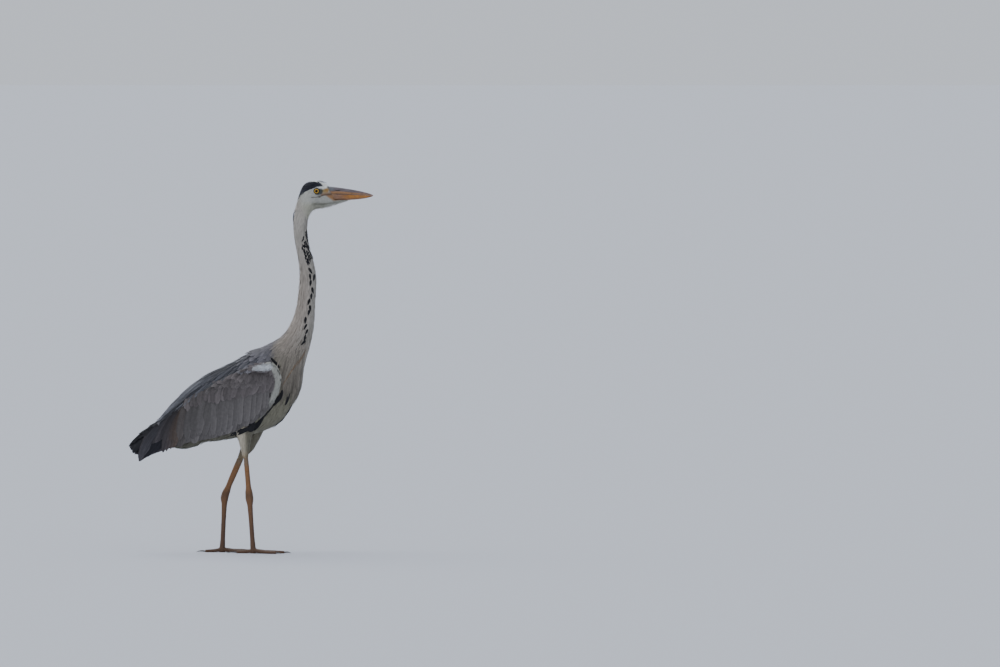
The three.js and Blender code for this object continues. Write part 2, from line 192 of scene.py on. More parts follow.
def outwards(piece):
    """Turns every face of a closed piece outwards."""
    shell = bmesh.new()
    shell.from_mesh(piece.data)
    bmesh.ops.recalc_face_normals(shell, faces=shell.faces)
    shell.to_mesh(piece.data)
    shell.free()


def through(points, count):
    """`count` points on a smooth curve through the given ones."""
    points = np.asarray(points, float)
    t = np.linspace(0, len(points) - 1, count)
    i = np.clip(t.astype(int), 0, len(points) - 2)
    f = (t - i)[:, None]
    before, start = points[np.maximum(i - 1, 0)], points[i]
    end, after = points[i + 1], points[np.minimum(i + 2, len(points) - 1)]
    return 0.5 * (
        2 * start
        + (end - before) * f
        + (2 * before - 5 * start + 4 * end - after) * f**2
        + (3 * start - before - 3 * end + after) * f**3
    )


def unit(vectors):
    """Vectors at length one."""
    return vectors / np.maximum(np.linalg.norm(vectors, axis=-1, keepdims=True), 1e-9)


# ------------------------------------------------------------------ materials


def new_material(name):
    """A material with its tree emptied, and its shader and output in place."""
    material = bpy.data.materials.new(name)
    material.use_nodes = True
    tree = material.node_tree
    tree.nodes.clear()
    shader = add_node(tree, "ShaderNodeBsdfPrincipled")
    add_node(tree, "ShaderNodeOutputMaterial", {"Surface": shader.outputs[0]})
    return material, tree, shader


def feed(tree, node, inputs):
    """Sets a node's inputs to values, or links the sockets that feed them."""
    for key, value in inputs.items():
        if isinstance(value, bpy.types.NodeSocket):
            tree.links.new(value, node.inputs[key])
        else:
            node.inputs[key].default_value = value


def add_node(tree, kind, inputs=None, **settings):
    """Adds a node with its settings and inputs."""
    node = tree.nodes.new(kind)
    for name, value in settings.items():
        setattr(node, name, value)
    feed(tree, node, inputs or {})
    return node


def maths(tree, operation, *values):
    """The result of an operation on one or two values."""
    return add_node(tree, "ShaderNodeMath", dict(enumerate(values)), operation=operation).outputs[0]


def ranged(tree, value, low, high, to_low, to_high):
    """A value moved from the range low to high to another range, and held inside it."""
    inputs = dict(enumerate((value, low, high, to_low, to_high)))
    return add_node(tree, "ShaderNodeMapRange", inputs).outputs[0]


def own_place(tree):
    """The place of each point on its piece, in metres."""
    return add_node(tree, "ShaderNodeTexCoord").outputs["Object"]


def noise(tree, place, scale, detail, roughness=0.5):
    """Noise between 0 and 1."""
    inputs = {"Vector": place, "Scale": scale, "Detail": detail, "Roughness": roughness}
    return add_node(tree, "ShaderNodeTexNoise", inputs).outputs[0]


def shaded_tint(tree, factor):
    """The piece's painted tint times a factor."""
    tint = add_node(tree, "ShaderNodeAttribute", attribute_name="Tint").outputs["Color"]
    return add_node(tree, "ShaderNodeVectorMath", {0: tint, "Scale": factor}, operation="SCALE").outputs[0]


def bumped(tree, strength, distance, height):
    """A normal that follows a height."""
    inputs = {"Strength": strength, "Distance": distance, "Height": height}
    return add_node(tree, "ShaderNodeBump", inputs).outputs[0]


def rgba(colour):
    """A linear colour with full opacity."""
    return (*[float(c) for c in colour], 1.0)


BARB_SLANT = 1.3  # how far a barb runs towards the tip for each mm that it runs out


def feather_material(name, barb_mm=1.7, shaft=0.0, roughness=0.78, mottle=0.12, sheen=0.12):
    """Keratin vanes: a dull, faintly sheeny web of barbs that slant away from the shaft.

    The map called Vane holds centimetres across and along each vane. Real barbs are about
    0.4 mm apart, which is too fine to show, so they are drawn `barb_mm` apart.
    """
    material, tree, shader = new_material(name)
    place = add_node(tree, "ShaderNodeUVMap", uv_map="Vane")
    parts = add_node(tree, "ShaderNodeSeparateXYZ", {0: place.outputs[0]})
    across = maths(tree, "ABSOLUTE", parts.outputs[0])
    along = maths(tree, "ADD", parts.outputs[1], maths(tree, "MULTIPLY", across, -BARB_SLANT))
    barb = maths(tree, "SINE", maths(tree, "MULTIPLY", along, 2 * math.pi * 10 / barb_mm))
    cloud = ranged(tree, noise(tree, own_place(tree), 140.0, 3.0, 0.6), 0.3, 0.7, 1 - mottle, 1 + mottle)
    shade = maths(tree, "MULTIPLY", cloud, ranged(tree, barb, -1.0, 1.0, 0.96, 1.03))
    if shaft:
        shade = maths(tree, "MULTIPLY", shade, ranged(tree, across, 0.03, 0.09, shaft, 1.0))
    feed(tree, shader, {
        "Base Color": shaded_tint(tree, shade),
        "Normal": bumped(tree, 0.25, 0.0003, barb),
        "Roughness": roughness,
        "Specular IOR Level": 0.25,
        "Sheen Weight": sheen,
        "Sheen Roughness": 0.5,
    })
    return material


def skin_material():
    """Down-covered skin, dull, with short soft barbs as bump; it is bare only before the eyes."""
    material, tree, shader = new_material("downy_skin")
    down = noise(tree, own_place(tree), 420.0, 4.0, 0.65)
    feed(tree, shader, {
        "Base Color": shaded_tint(tree, ranged(tree, down, 0.3, 0.7, 0.86, 1.12)),
        "Normal": bumped(tree, 0.5, 0.0005, down),
        "Roughness": 0.8,
        "Specular IOR Level": 0.2,
    })
    return material


def horn_material():
    """Bill horn: keratin sheath, half glossy, with fine lengthwise growth streaks and scuffs."""
    material, tree, shader = new_material("bill_keratin")
    place = own_place(tree)
    drawn_out = add_node(tree, "ShaderNodeMapping", {"Vector": place, "Scale": (60.0, 420.0, 420.0)})
    streaks = noise(tree, drawn_out.outputs[0], 1.0, 4.0, 0.6)
    patches = noise(tree, place, 130.0, 2.0)
    grain = ranged(tree, streaks, 0.3, 0.7, 0.68, 1.28)
    shade = maths(tree, "MULTIPLY", grain, ranged(tree, patches, 0.35, 0.65, 0.85, 1.12))
    feed(tree, shader, {
        "Base Color": shaded_tint(tree, shade),
        "Roughness": ranged(tree, patches, 0.3, 0.7, 0.34, 0.52),
        "Normal": bumped(tree, 0.3, 0.0003, streaks),
        "IOR": 1.54,
    })
    return material


def leg_material():
    """Scaled leg skin: leathery, waxy where the scutes bulge and dark in the joints between them."""
    material, tree, shader = new_material("leg_scales")
    # Net-like scales about 2.2 mm across.
    cells = {"Vector": own_place(tree), "Scale": 450.0}
    net = add_node(tree, "ShaderNodeTexVoronoi", cells, feature="DISTANCE_TO_EDGE")
    seam = ranged(tree, net.outputs[0], 0.0, 0.16, 0.62, 1.08)
    feed(tree, shader, {
        "Base Color": shaded_tint(tree, seam),
        "Normal": bumped(tree, 0.6, 0.0004, seam),
        "Roughness": 0.55,
        "IOR": 1.45,
    })
    return material


def claw_material():
    """Claw horn: nearly black, smooth and half glossy, with brown streaks."""
    material, tree, shader = new_material("claw_keratin")
    streaks = noise(tree, own_place(tree), 600.0, 3.0)
    hues = {0: streaks, 6: rgba(linear("#1d1a18")), 7: rgba(linear("#4a4038"))}
    colour = add_node(tree, "ShaderNodeMix", hues, data_type="RGBA")
    feed(tree, shader, {"Base Color": colour.outputs[2], "Roughness": 0.38, "IOR": 1.54})
    return material


# Colours of the eyeball by distance from the middle of the pupil, as shares of EYE_RIM.
EYE_RIM = 8.0
EYE_RINGS = [
    (0.0, "#020202"), (0.43, "#020202"), (0.48, "#8a6316"), (0.53, "#d4a640"),
    (0.7, "#c4983a"), (0.79, "#5c4214"), (0.86, "#14100c"),
]


def eye_material():
    """Wet eyeball: black pupil, yellow iris with a dark rim, and a clear glossy coat over all."""
    material, tree, shader = new_material("wet_eyeball")
    centre = metres(EYE)
    vector = own_place(tree)
    for operation, by in (
        ("SUBTRACT", (float(centre[0]), 0.0, float(centre[2]))),
        ("MULTIPLY", (1000.0, 0.0, 1000.0)),  # to mm, and flat to the side view
    ):
        vector = add_node(tree, "ShaderNodeVectorMath", {0: vector, 1: by}, operation=operation).outputs[0]
    radius = add_node(tree, "ShaderNodeVectorMath", {0: vector}, operation="LENGTH")
    share = maths(tree, "DIVIDE", radius.outputs["Value"], EYE_RIM)
    rings = add_node(tree, "ShaderNodeValToRGB", {0: share})
    ramp = rings.color_ramp
    while len(ramp.elements) < len(EYE_RINGS):
        ramp.elements.new(0.5)
    for element, (position, hex_colour) in zip(ramp.elements, EYE_RINGS):
        element.position = position
        element.color = rgba(linear(hex_colour))
    feed(tree, shader, {
        "Base Color": rings.outputs[0],
        "Roughness": 0.4,
        "Specular IOR Level": 0.1,
        "Coat Weight": 0.35,
        "Coat Roughness": 0.03,
        "IOR": 1.38,
    })
    return material


# ------------------------------------------------------------------ the body's lengths and lie

# The middle line of head, neck, trunk and tail in side view, from the face to the tail's tip.
BODY_LINE = through(
    [
        (222, 965), (200, 966), (172, 966), (150, 952), (138, 926), (132, 893), (132, 860),
        (139, 822), (149, 785), (153, 745), (151, 705), (147, 663), (139, 625), (122, 591),
        (98, 557), (72, 523), (43, 484), (8, 447), (-36, 407), (-91, 377), (-149, 352),
        (-193, 328), (-230, 315), (-275, 318), (-329, 290),
    ],
    121,
)
LINE_STEPS = np.linalg.norm(np.diff(BODY_LINE, axis=0), axis=1)
LINE_REACH = np.concatenate([[0], np.cumsum(LINE_STEPS)])


def along_body(points):
    """(share of the body line, angle round it, direction of the line) for each point."""
    points = np.asarray(points, float)
    flat = points[:, [0, 2]]
    gaps = ((flat[:, None, :] - BODY_LINE[None]) ** 2).sum(-1)
    near = np.clip(gaps.argmin(1), 1, len(BODY_LINE) - 2)
    tangent = unit(BODY_LINE[near + 1] - BODY_LINE[near - 1])
    past = ((flat - BODY_LINE[near]) * tangent).sum(-1)
    share = (LINE_REACH[near] + past) / LINE_REACH[-1]
    belly_side = np.stack([-tangent[:, 1], tangent[:, 0]], -1)
    depth = ((flat - BODY_LINE[near]) * belly_side).sum(-1)
    angle = np.arctan2(points[:, 1], depth) / (2 * math.pi) + 0.5
    return share, angle, np.stack([tangent[:, 0], 0 * share, tangent[:, 1]], -1)


# ------------------------------------------------------------------ skin

FLESH = [
    "head", "neck_upper", "neck_middle", "neck_lower", "trunk", "tail",
    "wing_left", "wing_right", "thigh_left", "thigh_right",
]
CUT_SWELL = 0.35  # closes the thin cuts between neighbouring solids


def merged_copy(nodes, swell=0.0):
    """(vertices, faces, node of each face) of merged copies of solids, in the heron's own frame."""
    vertices, faces, owner = [], [], []
    for node in nodes:
        shell = bmesh.new()
        shell.from_mesh(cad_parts[node].data)
        bmesh.ops.remove_doubles(shell, verts=shell.verts, dist=1e-6)
        shell.normal_update()
        first = len(vertices)
        vertices += [own(v.co) + np.array(v.normal) * swell for v in shell.verts]
        faces += [[v.index + first for v in face.verts] for face in shell.faces]
        owner += [node] * len(shell.faces)
        shell.free()
    return np.array(vertices), faces, np.array(owner)


def as_arrays(mesh):
    """(vertices in the heron's own frame, edges, normals) of a mesh."""
    vertices = np.empty(len(mesh.vertices) * 3)
    mesh.vertices.foreach_get("co", vertices)
    edges = np.empty(len(mesh.edges) * 2, int)
    mesh.edges.foreach_get("vertices", edges)
    normals = np.empty(len(mesh.vertices) * 3)
    mesh.vertices.foreach_get("normal", normals)
    return own(vertices.reshape(-1, 3)), edges.reshape(-1, 2), normals.reshape(-1, 3)


def relaxed(values, edges, rounds, shrink_free=True):
    """Values averaged with their neighbours' along the edges, with no loss of volume if shrink_free."""
    count = np.bincount(edges.ravel(), minlength=len(values)).astype(float)
    count = np.maximum(count, 1).reshape((-1,) + (1,) * (values.ndim - 1))
    strengths = (0.55, -0.57) if shrink_free else (0.5, 0.5)
    for _ in range(rounds):
        for strength in strengths:
            total = np.zeros_like(values)
            np.add.at(total, edges[:, 0], values[edges[:, 1]])
            np.add.at(total, edges[:, 1], values[edges[:, 0]])
            values = values + strength * (total / count - values)
    return values


def remeshed(name, nodes, *, voxel_mm, rounds, swell):
    """One even closed mesh round several solids, relaxed until no facet or cut shows."""
    vertices, faces, _ = merged_copy(nodes, swell)
    rough = mesh_piece(name, vertices, faces)
    remesh = rough.modifiers.new("even", "REMESH")
    remesh.mode = "VOXEL"
    remesh.voxel_size = voxel_mm / 1000
    shape = applied(rough)
    rough.modifiers.clear()
    rough.data = shape
    vertices, edges, _ = as_arrays(shape)
    shade_smooth(shape)
    move_vertices(shape, relaxed(vertices, edges, rounds))
    return rough


def finer(piece, chosen):
    """Halves the edges of the faces whose middle passes `chosen`."""
    shell = bmesh.new()
    shell.from_mesh(piece.data)
    middles = own(np.array([face.calc_center_median() for face in shell.faces]))
    marked = chosen(middles)
    shell.faces.ensure_lookup_table()
    edges = {edge for i in np.nonzero(marked)[0] for edge in shell.faces[i].edges}
    bmesh.ops.subdivide_edges(shell, edges=list(edges), cuts=1, use_grid_fill=True, smooth=0.0)
    bmesh.ops.triangulate(shell, faces=[face for face in shell.faces if len(face.verts) > 4])
    shell.to_mesh(piece.data)
    shell.free()


flesh_points, flesh_faces, flesh_owner = merged_copy(FLESH)
flesh_tree = BVHTree.FromPolygons(flesh_points.tolist(), flesh_faces)


def nearest(tree, points):
    """(nearest points, their faces) on a surface."""
    found = [tree.find_nearest(Vector(p)) for p in points]
    return np.array([tuple(f[0]) for f in found]), np.array([f[2] for f in found])


# How deep the skin lies under the feathers' tips.
COAT_DEPTH = {
    "head": 0.8, "neck_upper": 1.8, "neck_middle": 2.0, "neck_lower": 2.6, "trunk": 3.4, "tail": 1.6,
    "wing_left": 2.8, "wing_right": 2.8, "thigh_left": 2.0, "thigh_right": 2.0,
}
EYE_DIP = 1.3  # how much deeper it lies round the eyes
FOREHEAD_DIP = 1.8  # and at the forehead
FOREHEAD = (203, 997)
HEM_DIP = 1.4  # and where the thighs' feathers end
FEATHERS_END = {"left": (246.0, 0.43), "right": (256.0, -0.09)}  # height, and the shank's lean there


def make_skin():
    """(the one skin under the coat, the flesh solid that each of its vertices belongs to)."""
    skin = remeshed("skin", FLESH, voxel_mm=2.5, rounds=9, swell=CUT_SWELL)
    finer(skin, lambda p: (p[:, 2] > 930) & (p[:, 0] > 150))
    vertices, edges, _ = as_arrays(skin.data)
    vertices = relaxed(vertices, edges, 2)
    x, z = vertices[:, 0], vertices[:, 2]
    owners = flesh_owner[nearest(flesh_tree, vertices)[1]]
    depth = np.array([COAT_DEPTH[o] for o in owners])
    depth *= 1 - 0.8 * smooth(x, -270, -310)  # the tail and wing tips are thin
    for word, (end, _) in FEATHERS_END.items():
        depth += HEM_DIP * (owners == f"thigh_{word}") * smooth(z, end + 14, end + 2)
    depth = relaxed(depth, edges, 6, shrink_free=False)
    depth += FOREHEAD_DIP * smooth(np.hypot(x - FOREHEAD[0], z - FOREHEAD[1]), 15, 7)
    depth += EYE_DIP * smooth(np.hypot(x - EYE[0], z - EYE[2]), 9.5, 7)
    move_vertices(skin.data, vertices)
    _, _, normals = as_arrays(skin.data)
    move_vertices(skin.data, vertices - normals * depth[:, None])
    return skin, owners


skin, skin_owner = make_skin()
skin_points, skin_edges, skin_normals = as_arrays(skin.data)
skin_faces = [tuple(p.vertices) for p in skin.data.polygons]
skin_tree = BVHTree.FromPolygons(skin_points.tolist(), skin_faces)
OUTSIDE = 200  # a distance from the middle plane that is clear of the body
FAR_SIDE = -5  # a hit this far past the middle plane lies on the body's other side
HALF_BREADTH = 60  # a point beside the body, from which the nearest skin is sought after a miss


def seen_from(side, x, z):
    """What a ray from that side meets first on the skin: (place, normal, face, distance)."""
    return skin_tree.ray_cast(Vector((x, side * OUTSIDE, z)), Vector((0, -side, 0)))


def side_hits(xz, side):
    """(where a side view's points lie on the skin, whether they lie on it) seen from that side."""
    found, met = [], []
    for x, z in np.asarray(xz, float):
        hit = seen_from(side, x, z)
        met.append(hit[0] is not None and hit[0].y * side > FAR_SIDE)
        if not met[-1]:
            hit = skin_tree.find_nearest(Vector((x, side * HALF_BREADTH, z)))
        found.append(tuple(hit[0]))
    return np.array(found), np.array(met)


def on_side(xz, side):
    """Where a side view's points lie on the skin, seen from outside on that side."""
    return side_hits(xz, side)[0]


# ------------------------------------------------------------------ how the wings are held

WING_HINGE = np.array([60.0, 480.0])  # x and z of the shoulder
LEFT_WING_LIFT = 2.6  # degrees that the left wing is held higher at its tip
# Where each thigh's feathers point to, and the right wing's front edge in side view.
THIGH_ENDS = {"left": (-38.0, 33.0, 225.0), "right": (-14.0, -33.0, 225.0)}
LEADING_EDGE = [(54, 514), (68, 502), (77, 484), (80, 463), (69, 426), (47, 393), (30, 374)]


def wing_place(xz, side, back=False):
    """Side-view points of the right wing moved to where that side's wing is held, or back."""
    turn = math.radians(LEFT_WING_LIFT if side > 0 else 0.0) * (-1 if back else 1)
    x, z = (np.asarray(xz, float) - WING_HINGE).T
    across, upward = x * math.cos(turn) + z * math.sin(turn), z * math.cos(turn) - x * math.sin(turn)
    return WING_HINGE + np.stack([across, upward], -1)


def gap_to(path, xz):
    """Distance of side-view points from a line of points."""
    line = through(path, 60)
    return np.sqrt(((xz[:, None] - line[None]) ** 2).sum(-1)).min(1)


# ------------------------------------------------------------------ markings

CAP = [
    (194, 991), (187, 999), (178, 1006), (160, 1015), (128, 1012), (113, 985), (123, 958),
    (134, 968), (142, 975.5), (148, 978), (157, 981.5), (168, 985), (178, 989), (186, 990),
]
LORE = [(190, 981), (198, 984), (205, 986), (211, 981), (208, 974), (200, 972), (192, 973)]
LORE_LOW = [(186, 969), (194, 973), (210, 974), (226, 974), (226, 967), (200, 965), (188, 965)]
CULMEN_ROOT = [(204, 988), (208, 994), (226, 996), (226, 973), (212, 974), (207, 981)]
GAPE = [
    (163, 959), (163, 961), (182, 963.5), (200, 968.5), (222, 970.5), (222, 968.2), (200, 966), (184, 960.5),
]
JAW_BASE = [(201, 965), (209, 970), (234, 970), (234, 953), (222, 951), (212, 957)]
JAW_LINE = [
    (268, 955.5), (240, 951), (215, 947), (190, 944), (165, 944), (166, 939), (192, 938), (220, 943),
    (245, 949),
]
UNDER_EYE = [(172, 968), (180, 984), (190, 984), (195, 978), (191, 970), (182, 966)]
BARE_AREAS = (LORE, LORE_LOW, UNDER_EYE, JAW_BASE, CULMEN_ROOT, GAPE)
MANTLE_FRONT = [(57, 515), (57, 560), (94, 597)]
SHOULDER_STRIPE = [(2, 498), (16, 495), (34, 494), (52, 496), (58, 504), (52, 512), (30, 510), (12, 505)]
FLECK_PATCH = [
    (147, 874), (139, 850), (137, 838), (138, 822), (144, 802), (149, 786),
    (156, 788), (165, 800), (170, 806), (166, 826), (160, 845), (158, 874),
]
# Files of flecks down the front of the neck, each with the number of its flecks.
FLECK_FILES = [
    ([(151, 794), (155, 768), (159, 750), (161, 729), (164, 708), (159, 692), (157, 672), (158, 660)], 9),
    ([(169, 753), (169, 752)], 1),
    ([(147, 638), (151, 620), (153, 604), (146, 590), (147, 574)], 5),
]
SCAPULAR_EDGE = [
    (-2, 505), (-59, 475), (-78, 458), (-116, 442), (-138, 438), (-168, 415), (-210, 384), (-240, 350),
]
PLUME_EDGE = [(147, 552), (134, 532), (118, 510), (104, 488)]
TAIL_LINE = [(-214, 384), (-238, 370), (-262, 350), (-292, 330), (-316, 309), (-330, 289)]

HUES = {
    name: linear(value)
    for name, value in {
        "white": "#f0f0ec",
        "cheek": "#b4b3ab",
        "chin": "#adab9c",
        "jaw": "#77786c",
        "jaw_base": "#97714f",
        "gape": "#4a4038",
        "culmen": "#626469",
        "cap": "#252630",
        "lore": "#9e8a60",
        "lore_brown": "#94652f",
        "lore_low": "#806450",
        "lore_dark": "#262c2c",
        "neck": "#b1aba2",
        "neck_warm": "#a69c92",
        # the darker grey of the neck's front is painted shade, where it faces away from the light
        "neck_front_shade": "#95918a",
        "plume": "#817a70",
        "plume_edge": "#74624f",
        "mantle": "#6d6b70",
        "scapular": "#57585e",
        "covert": "#615b5b",
        "covert_low": "#656160",
        "wing_edge": "#a3a39b",
        "shoulder": "#c8ccd0",
        "black": "#131318",
        "quill": "#464245",
        "primary": "#454348",
        # the tail's dark slate, painted darker as shade
        "tail": "#28282c",
        "brown": "#564a43",
        # the belly's greyish white, painted darker as shade for the body's underside
        "belly": "#7a7768",
        "thigh": "#bfb5a2",
        # the darker grey of the thighs' fronts is painted shade
        "thigh_front_shade": "#6a6659",
    }.items()
}


def hue_of(name):
    """A named hue, or a hex value, as linear red, green and blue."""
    return linear(name) if name.startswith("#") else HUES[name]


def layered(first, *layers):
    """A tint with others laid over it in turn. Each comes with its share for every point."""
    tint = hue_of(first) if isinstance(first, str) else first
    for hue, share in layers:
        tint = mixed(tint, hue_of(hue) if isinstance(hue, str) else hue, share)
    return tint


def clouded(points, amount):
    """A factor for each point: soft lighter and darker areas, a few centimetres wide."""
    x, y, z = points.T
    waves = (
        np.sin(x / 9 + 2 * np.sin(z / 15))
        + np.sin(z / 8 + 1.8 * np.sin(x / 21 + y / 13))
        + np.sin((x + z) / 23 + y / 17)
    )
    return 1 + amount * waves[:, None] / 1.5


def body_place(points):
    """(share of the body line, how far towards its front: 0 at the back and 1 at the front)."""
    share, angle, _ = along_body(points)
    return share, 1 - 2 * np.abs(angle - 0.5)


def crown_gap(x, y):
    """1 on the white middle of the crown, between the two black bands that meet behind it."""
    return smooth(x, 150, 172) * smooth(np.abs(y), 9, 5)


def head_tint(points):
    """The markings of head and face."""
    x, y, z = points.T
    chin = mixed(HUES["chin"], HUES["cheek"] * 1.25, 0.8 * smooth(x, 190, 212))
    pale = layered(chin, ("cheek", smooth(z, 936, 952)), ("neck", smooth(x + (z - 930) * 0.4, 150, 128)))
    bare = smooth(np.abs(y), 5, 8)
    blotch = 0.5 + 0.5 * np.sin(x / 1.9 + 2 * np.sin(z / 2.3)) * np.sin(z / 1.7 + x / 4.1)
    lore = mixed(HUES["lore"], HUES["lore_brown"], blotch * smooth(x, 193, 203))
    return layered(
        pale * (1 + 0.24 * smooth(x, 178, 142))[:, None],
        ("jaw", 0.7 * inside(x, z, JAW_LINE, 5)),
        ("jaw_base", inside(x, z, JAW_BASE, 7)),
        ("white", smooth(z, 981, 986)),
        ("culmen", inside(x, z, CULMEN_ROOT, 4)),
        ("cap", inside(x, z, CAP, 3) * (1 - crown_gap(x, y))),
        ("lore_low", 0.9 * inside(x, z, LORE_LOW, 5) * bare),
        (lore, inside(x, z, LORE, 6) * bare),
        ("lore_dark", 0.9 * inside(x, z, UNDER_EYE, 4) * bare),
        ("gape", inside(x, z, GAPE, 2) * bare),
    )


def neck_tint(points):
    """Pale greyish neck, warmer behind and towards the body, lighter towards the head, with painted shade
    darkening its front.
    """
    share, front = body_place(points)
    z = points[:, 2]
    tint = layered(
        "neck",
        ("neck_warm", smooth(share, 0.14, 0.36) * smooth(front, 0.9, 0.35)),
        # painted shade: the neck's front is darker, facing away from the light
        ("neck_front_shade", smooth(front, 0.6, 0.85)),
        ("plume", 0.45 * smooth(z, 625, 560)),
    )
    return mixed(tint * (1 + 0.24 * smooth(z, 866, 925))[:, None], HUES["mantle"], grey_back(points))


def grey_back(points):
    """1 on the grey back and 0 on the pale breast and belly."""
    share, front = body_place(points)
    reach = smooth(share, 0.36, 0.43)
    line_x, line_z = np.array(MANTLE_FRONT, float).T
    behind = smooth(np.interp(points[:, 2], line_z, line_x) - points[:, 0], -14, 14)
    return smooth(front, 0.38 + 0.1 * reach, 0.28 + 0.1 * reach) * behind


def neck_base(points):
    """The share of the neck's hue that runs down into the breast."""
    return 0.4 * smooth(points[:, 2], 505, 560)


def plume_tint(points):
    """Buff-grey plumes of the breast, darker in thin streaks, with painted shade towards the belly and on the
    foremost plumes.
    """
    streak = np.where(chance.random(len(points)) < 0.3, 0.72, 1.08)[:, None]
    # painted shade: the plumes darken towards the belly
    low = (1 - 0.16 * smooth(points[:, 2], 520, 430))[:, None]
    # the foremost plumes take the neck front's painted shade
    front = smooth(points[:, 0], 120, 165)
    return layered("plume", ("neck_warm", neck_base(points)), ("neck_front_shade", front)) * streak * low


def trunk_tint(points):
    """Grey back, pale breast and belly, with painted shade darkening the belly towards the vent."""
    share, _ = body_place(points)
    pale = layered("plume", ("belly", smooth(share, 0.48, 0.6)), ("neck_warm", neck_base(points)))
    # painted shade under the body, darker towards the vent
    pale = pale * (1 - 0.4 * smooth(share, 0.62, 0.8))[:, None]
    return mixed(pale, HUES["mantle"], grey_back(points)) * clouded(points, 0.05)


def wing_tint(points, side):
    """Brownish grey coverts, with a pale leading edge and a white streak at the shoulder."""
    place = wing_place(points[:, [0, 2]], side, back=True)
    x, z = place.T
    broad = 9 + 8 * smooth(z, 392, 440)
    return layered(
        layered("covert", ("covert_low", smooth(z, 470, 420))) * clouded(points, 0.09),
        ("wing_edge", smooth(gap_to(LEADING_EDGE, place), broad, broad - 6) * smooth(z, 386, 424)),
        ("quill", smooth(x, -175, -205)),
        ("shoulder", 0.9 * inside(x, z, SHOULDER_STRIPE, 9)),
    )


def thigh_tint(points):
    """Pale thighs, warmer and lighter behind and greyer towards the shin; the darker grey in front and over
    most of the far (left) thigh is painted shade.
    """
    x, y, z = points.T
    middle = np.interp(z, [256, 290, 330], [-15, -17, -18])
    # painted shade: the front of each thigh, and most of the far (left) thigh, take the darker grey
    front = smooth(x, middle - 8, middle + 10)
    front = np.where(y > 0, 0.72 + 0.28 * smooth(x, -30, 0), front)
    tint = mixed(HUES["thigh"], HUES["thigh_front_shade"], front)
    return mixed(tint, tint * (0.82, 0.7, 0.56), smooth(z, 286, 252))


def skin_tint():
    """The coat's markings on the skin under it, with painted shade where rows of long feathers cover it."""
    tints = np.zeros((len(skin_points), 3))
    for start, tint_of in (
        ("head", head_tint),
        ("neck", neck_tint),
        ("trunk", trunk_tint),
        # painted shade under the long feathers: the tail's skin at 0.7 of its hue and the wings' at 0.9
        ("tail", lambda points: repeated(HUES["tail"] * 0.7, len(points))),
        ("thigh", thigh_tint),
        ("wing_left", lambda points: wing_tint(points, LEFT) * 0.9),
        ("wing_right", lambda points: wing_tint(points, RIGHT) * 0.9),
    ):
        chosen = np.char.startswith(skin_owner.astype(str), start)
        tints[chosen] = tint_of(skin_points[chosen])
    return relaxed(tints, skin_edges, 1, shrink_free=False)


paint(skin, skin_tint())
settle(skin, skin_material(), FLESH)

# ------------------------------------------------------------------ bill

BILL_ROOT, BILL_LENGTH, BILL_TIP_Z, BILL_SUNK = 211.0, 118.4, 965.0, 7.5
BILL_RINGS, BILL_ARC = 100, 44
BILL_GAP = 0.12  # half the thin cut between the closed halves
CLOSING_EDGE = 0.3  # how wide the halves' sharp edges are rounded


def gape_height(t):
    """Height of the closing line at a share of the way from root to tip."""
    return BILL_TIP_Z + 4.2 * (1 - t * t)


def upper_depth(t):
    """Height of the upper half over the closing line."""
    return 0.4 + 20 * (1 - t) ** 0.62


def lower_depth(t):
    """Depth of the lower half under it."""
    return 0.4 + 16.2 * np.maximum(1 - t**2.6, 0) ** 0.75


def bill_half_width(t):
    """Half the bill's width."""
    return 0.5 + 10.4 * (1 - t) ** 0.8


def upper_bill_tint(r, share, rise, slit):
    """Brown horn below, grey above, a dark closing edge and nostril."""
    return layered(
        "#96693f",
        ("#655b60", smooth(rise, 0.3, 0.55)),
        ("#4c474c", smooth(rise, 0.75, 1.0) * 0.7),
        ("#8a6a58", 0.55 * smooth(share, 0.5, 0.95)),
        ("#3a2c26", smooth(rise, 0.14, 0.02) * 0.85),
        ("#2a2322", 0.85 * smooth(slit, 0.2, 0.75)),
        ("culmen", smooth(r, 20, 4) * smooth(rise, 0.3, 0.5)),
    )


def lower_bill_tint(r, share, rise, _):
    """Brown at the root and orange from there to near the tip."""
    return layered(
        "#88634c",
        ("#ab6e24", smooth(share, 0.14, 0.5)),
        ("#7f5a40", smooth(rise, 0.5, 0.9) * 0.85),
        ("#7d583c", smooth(share, 0.86, 0.97)),
        ("#4a3228", smooth(rise, 0.16, 0.03) * 0.8),
        ("jaw_base", smooth(r, 26, 6) * 0.8),
    )


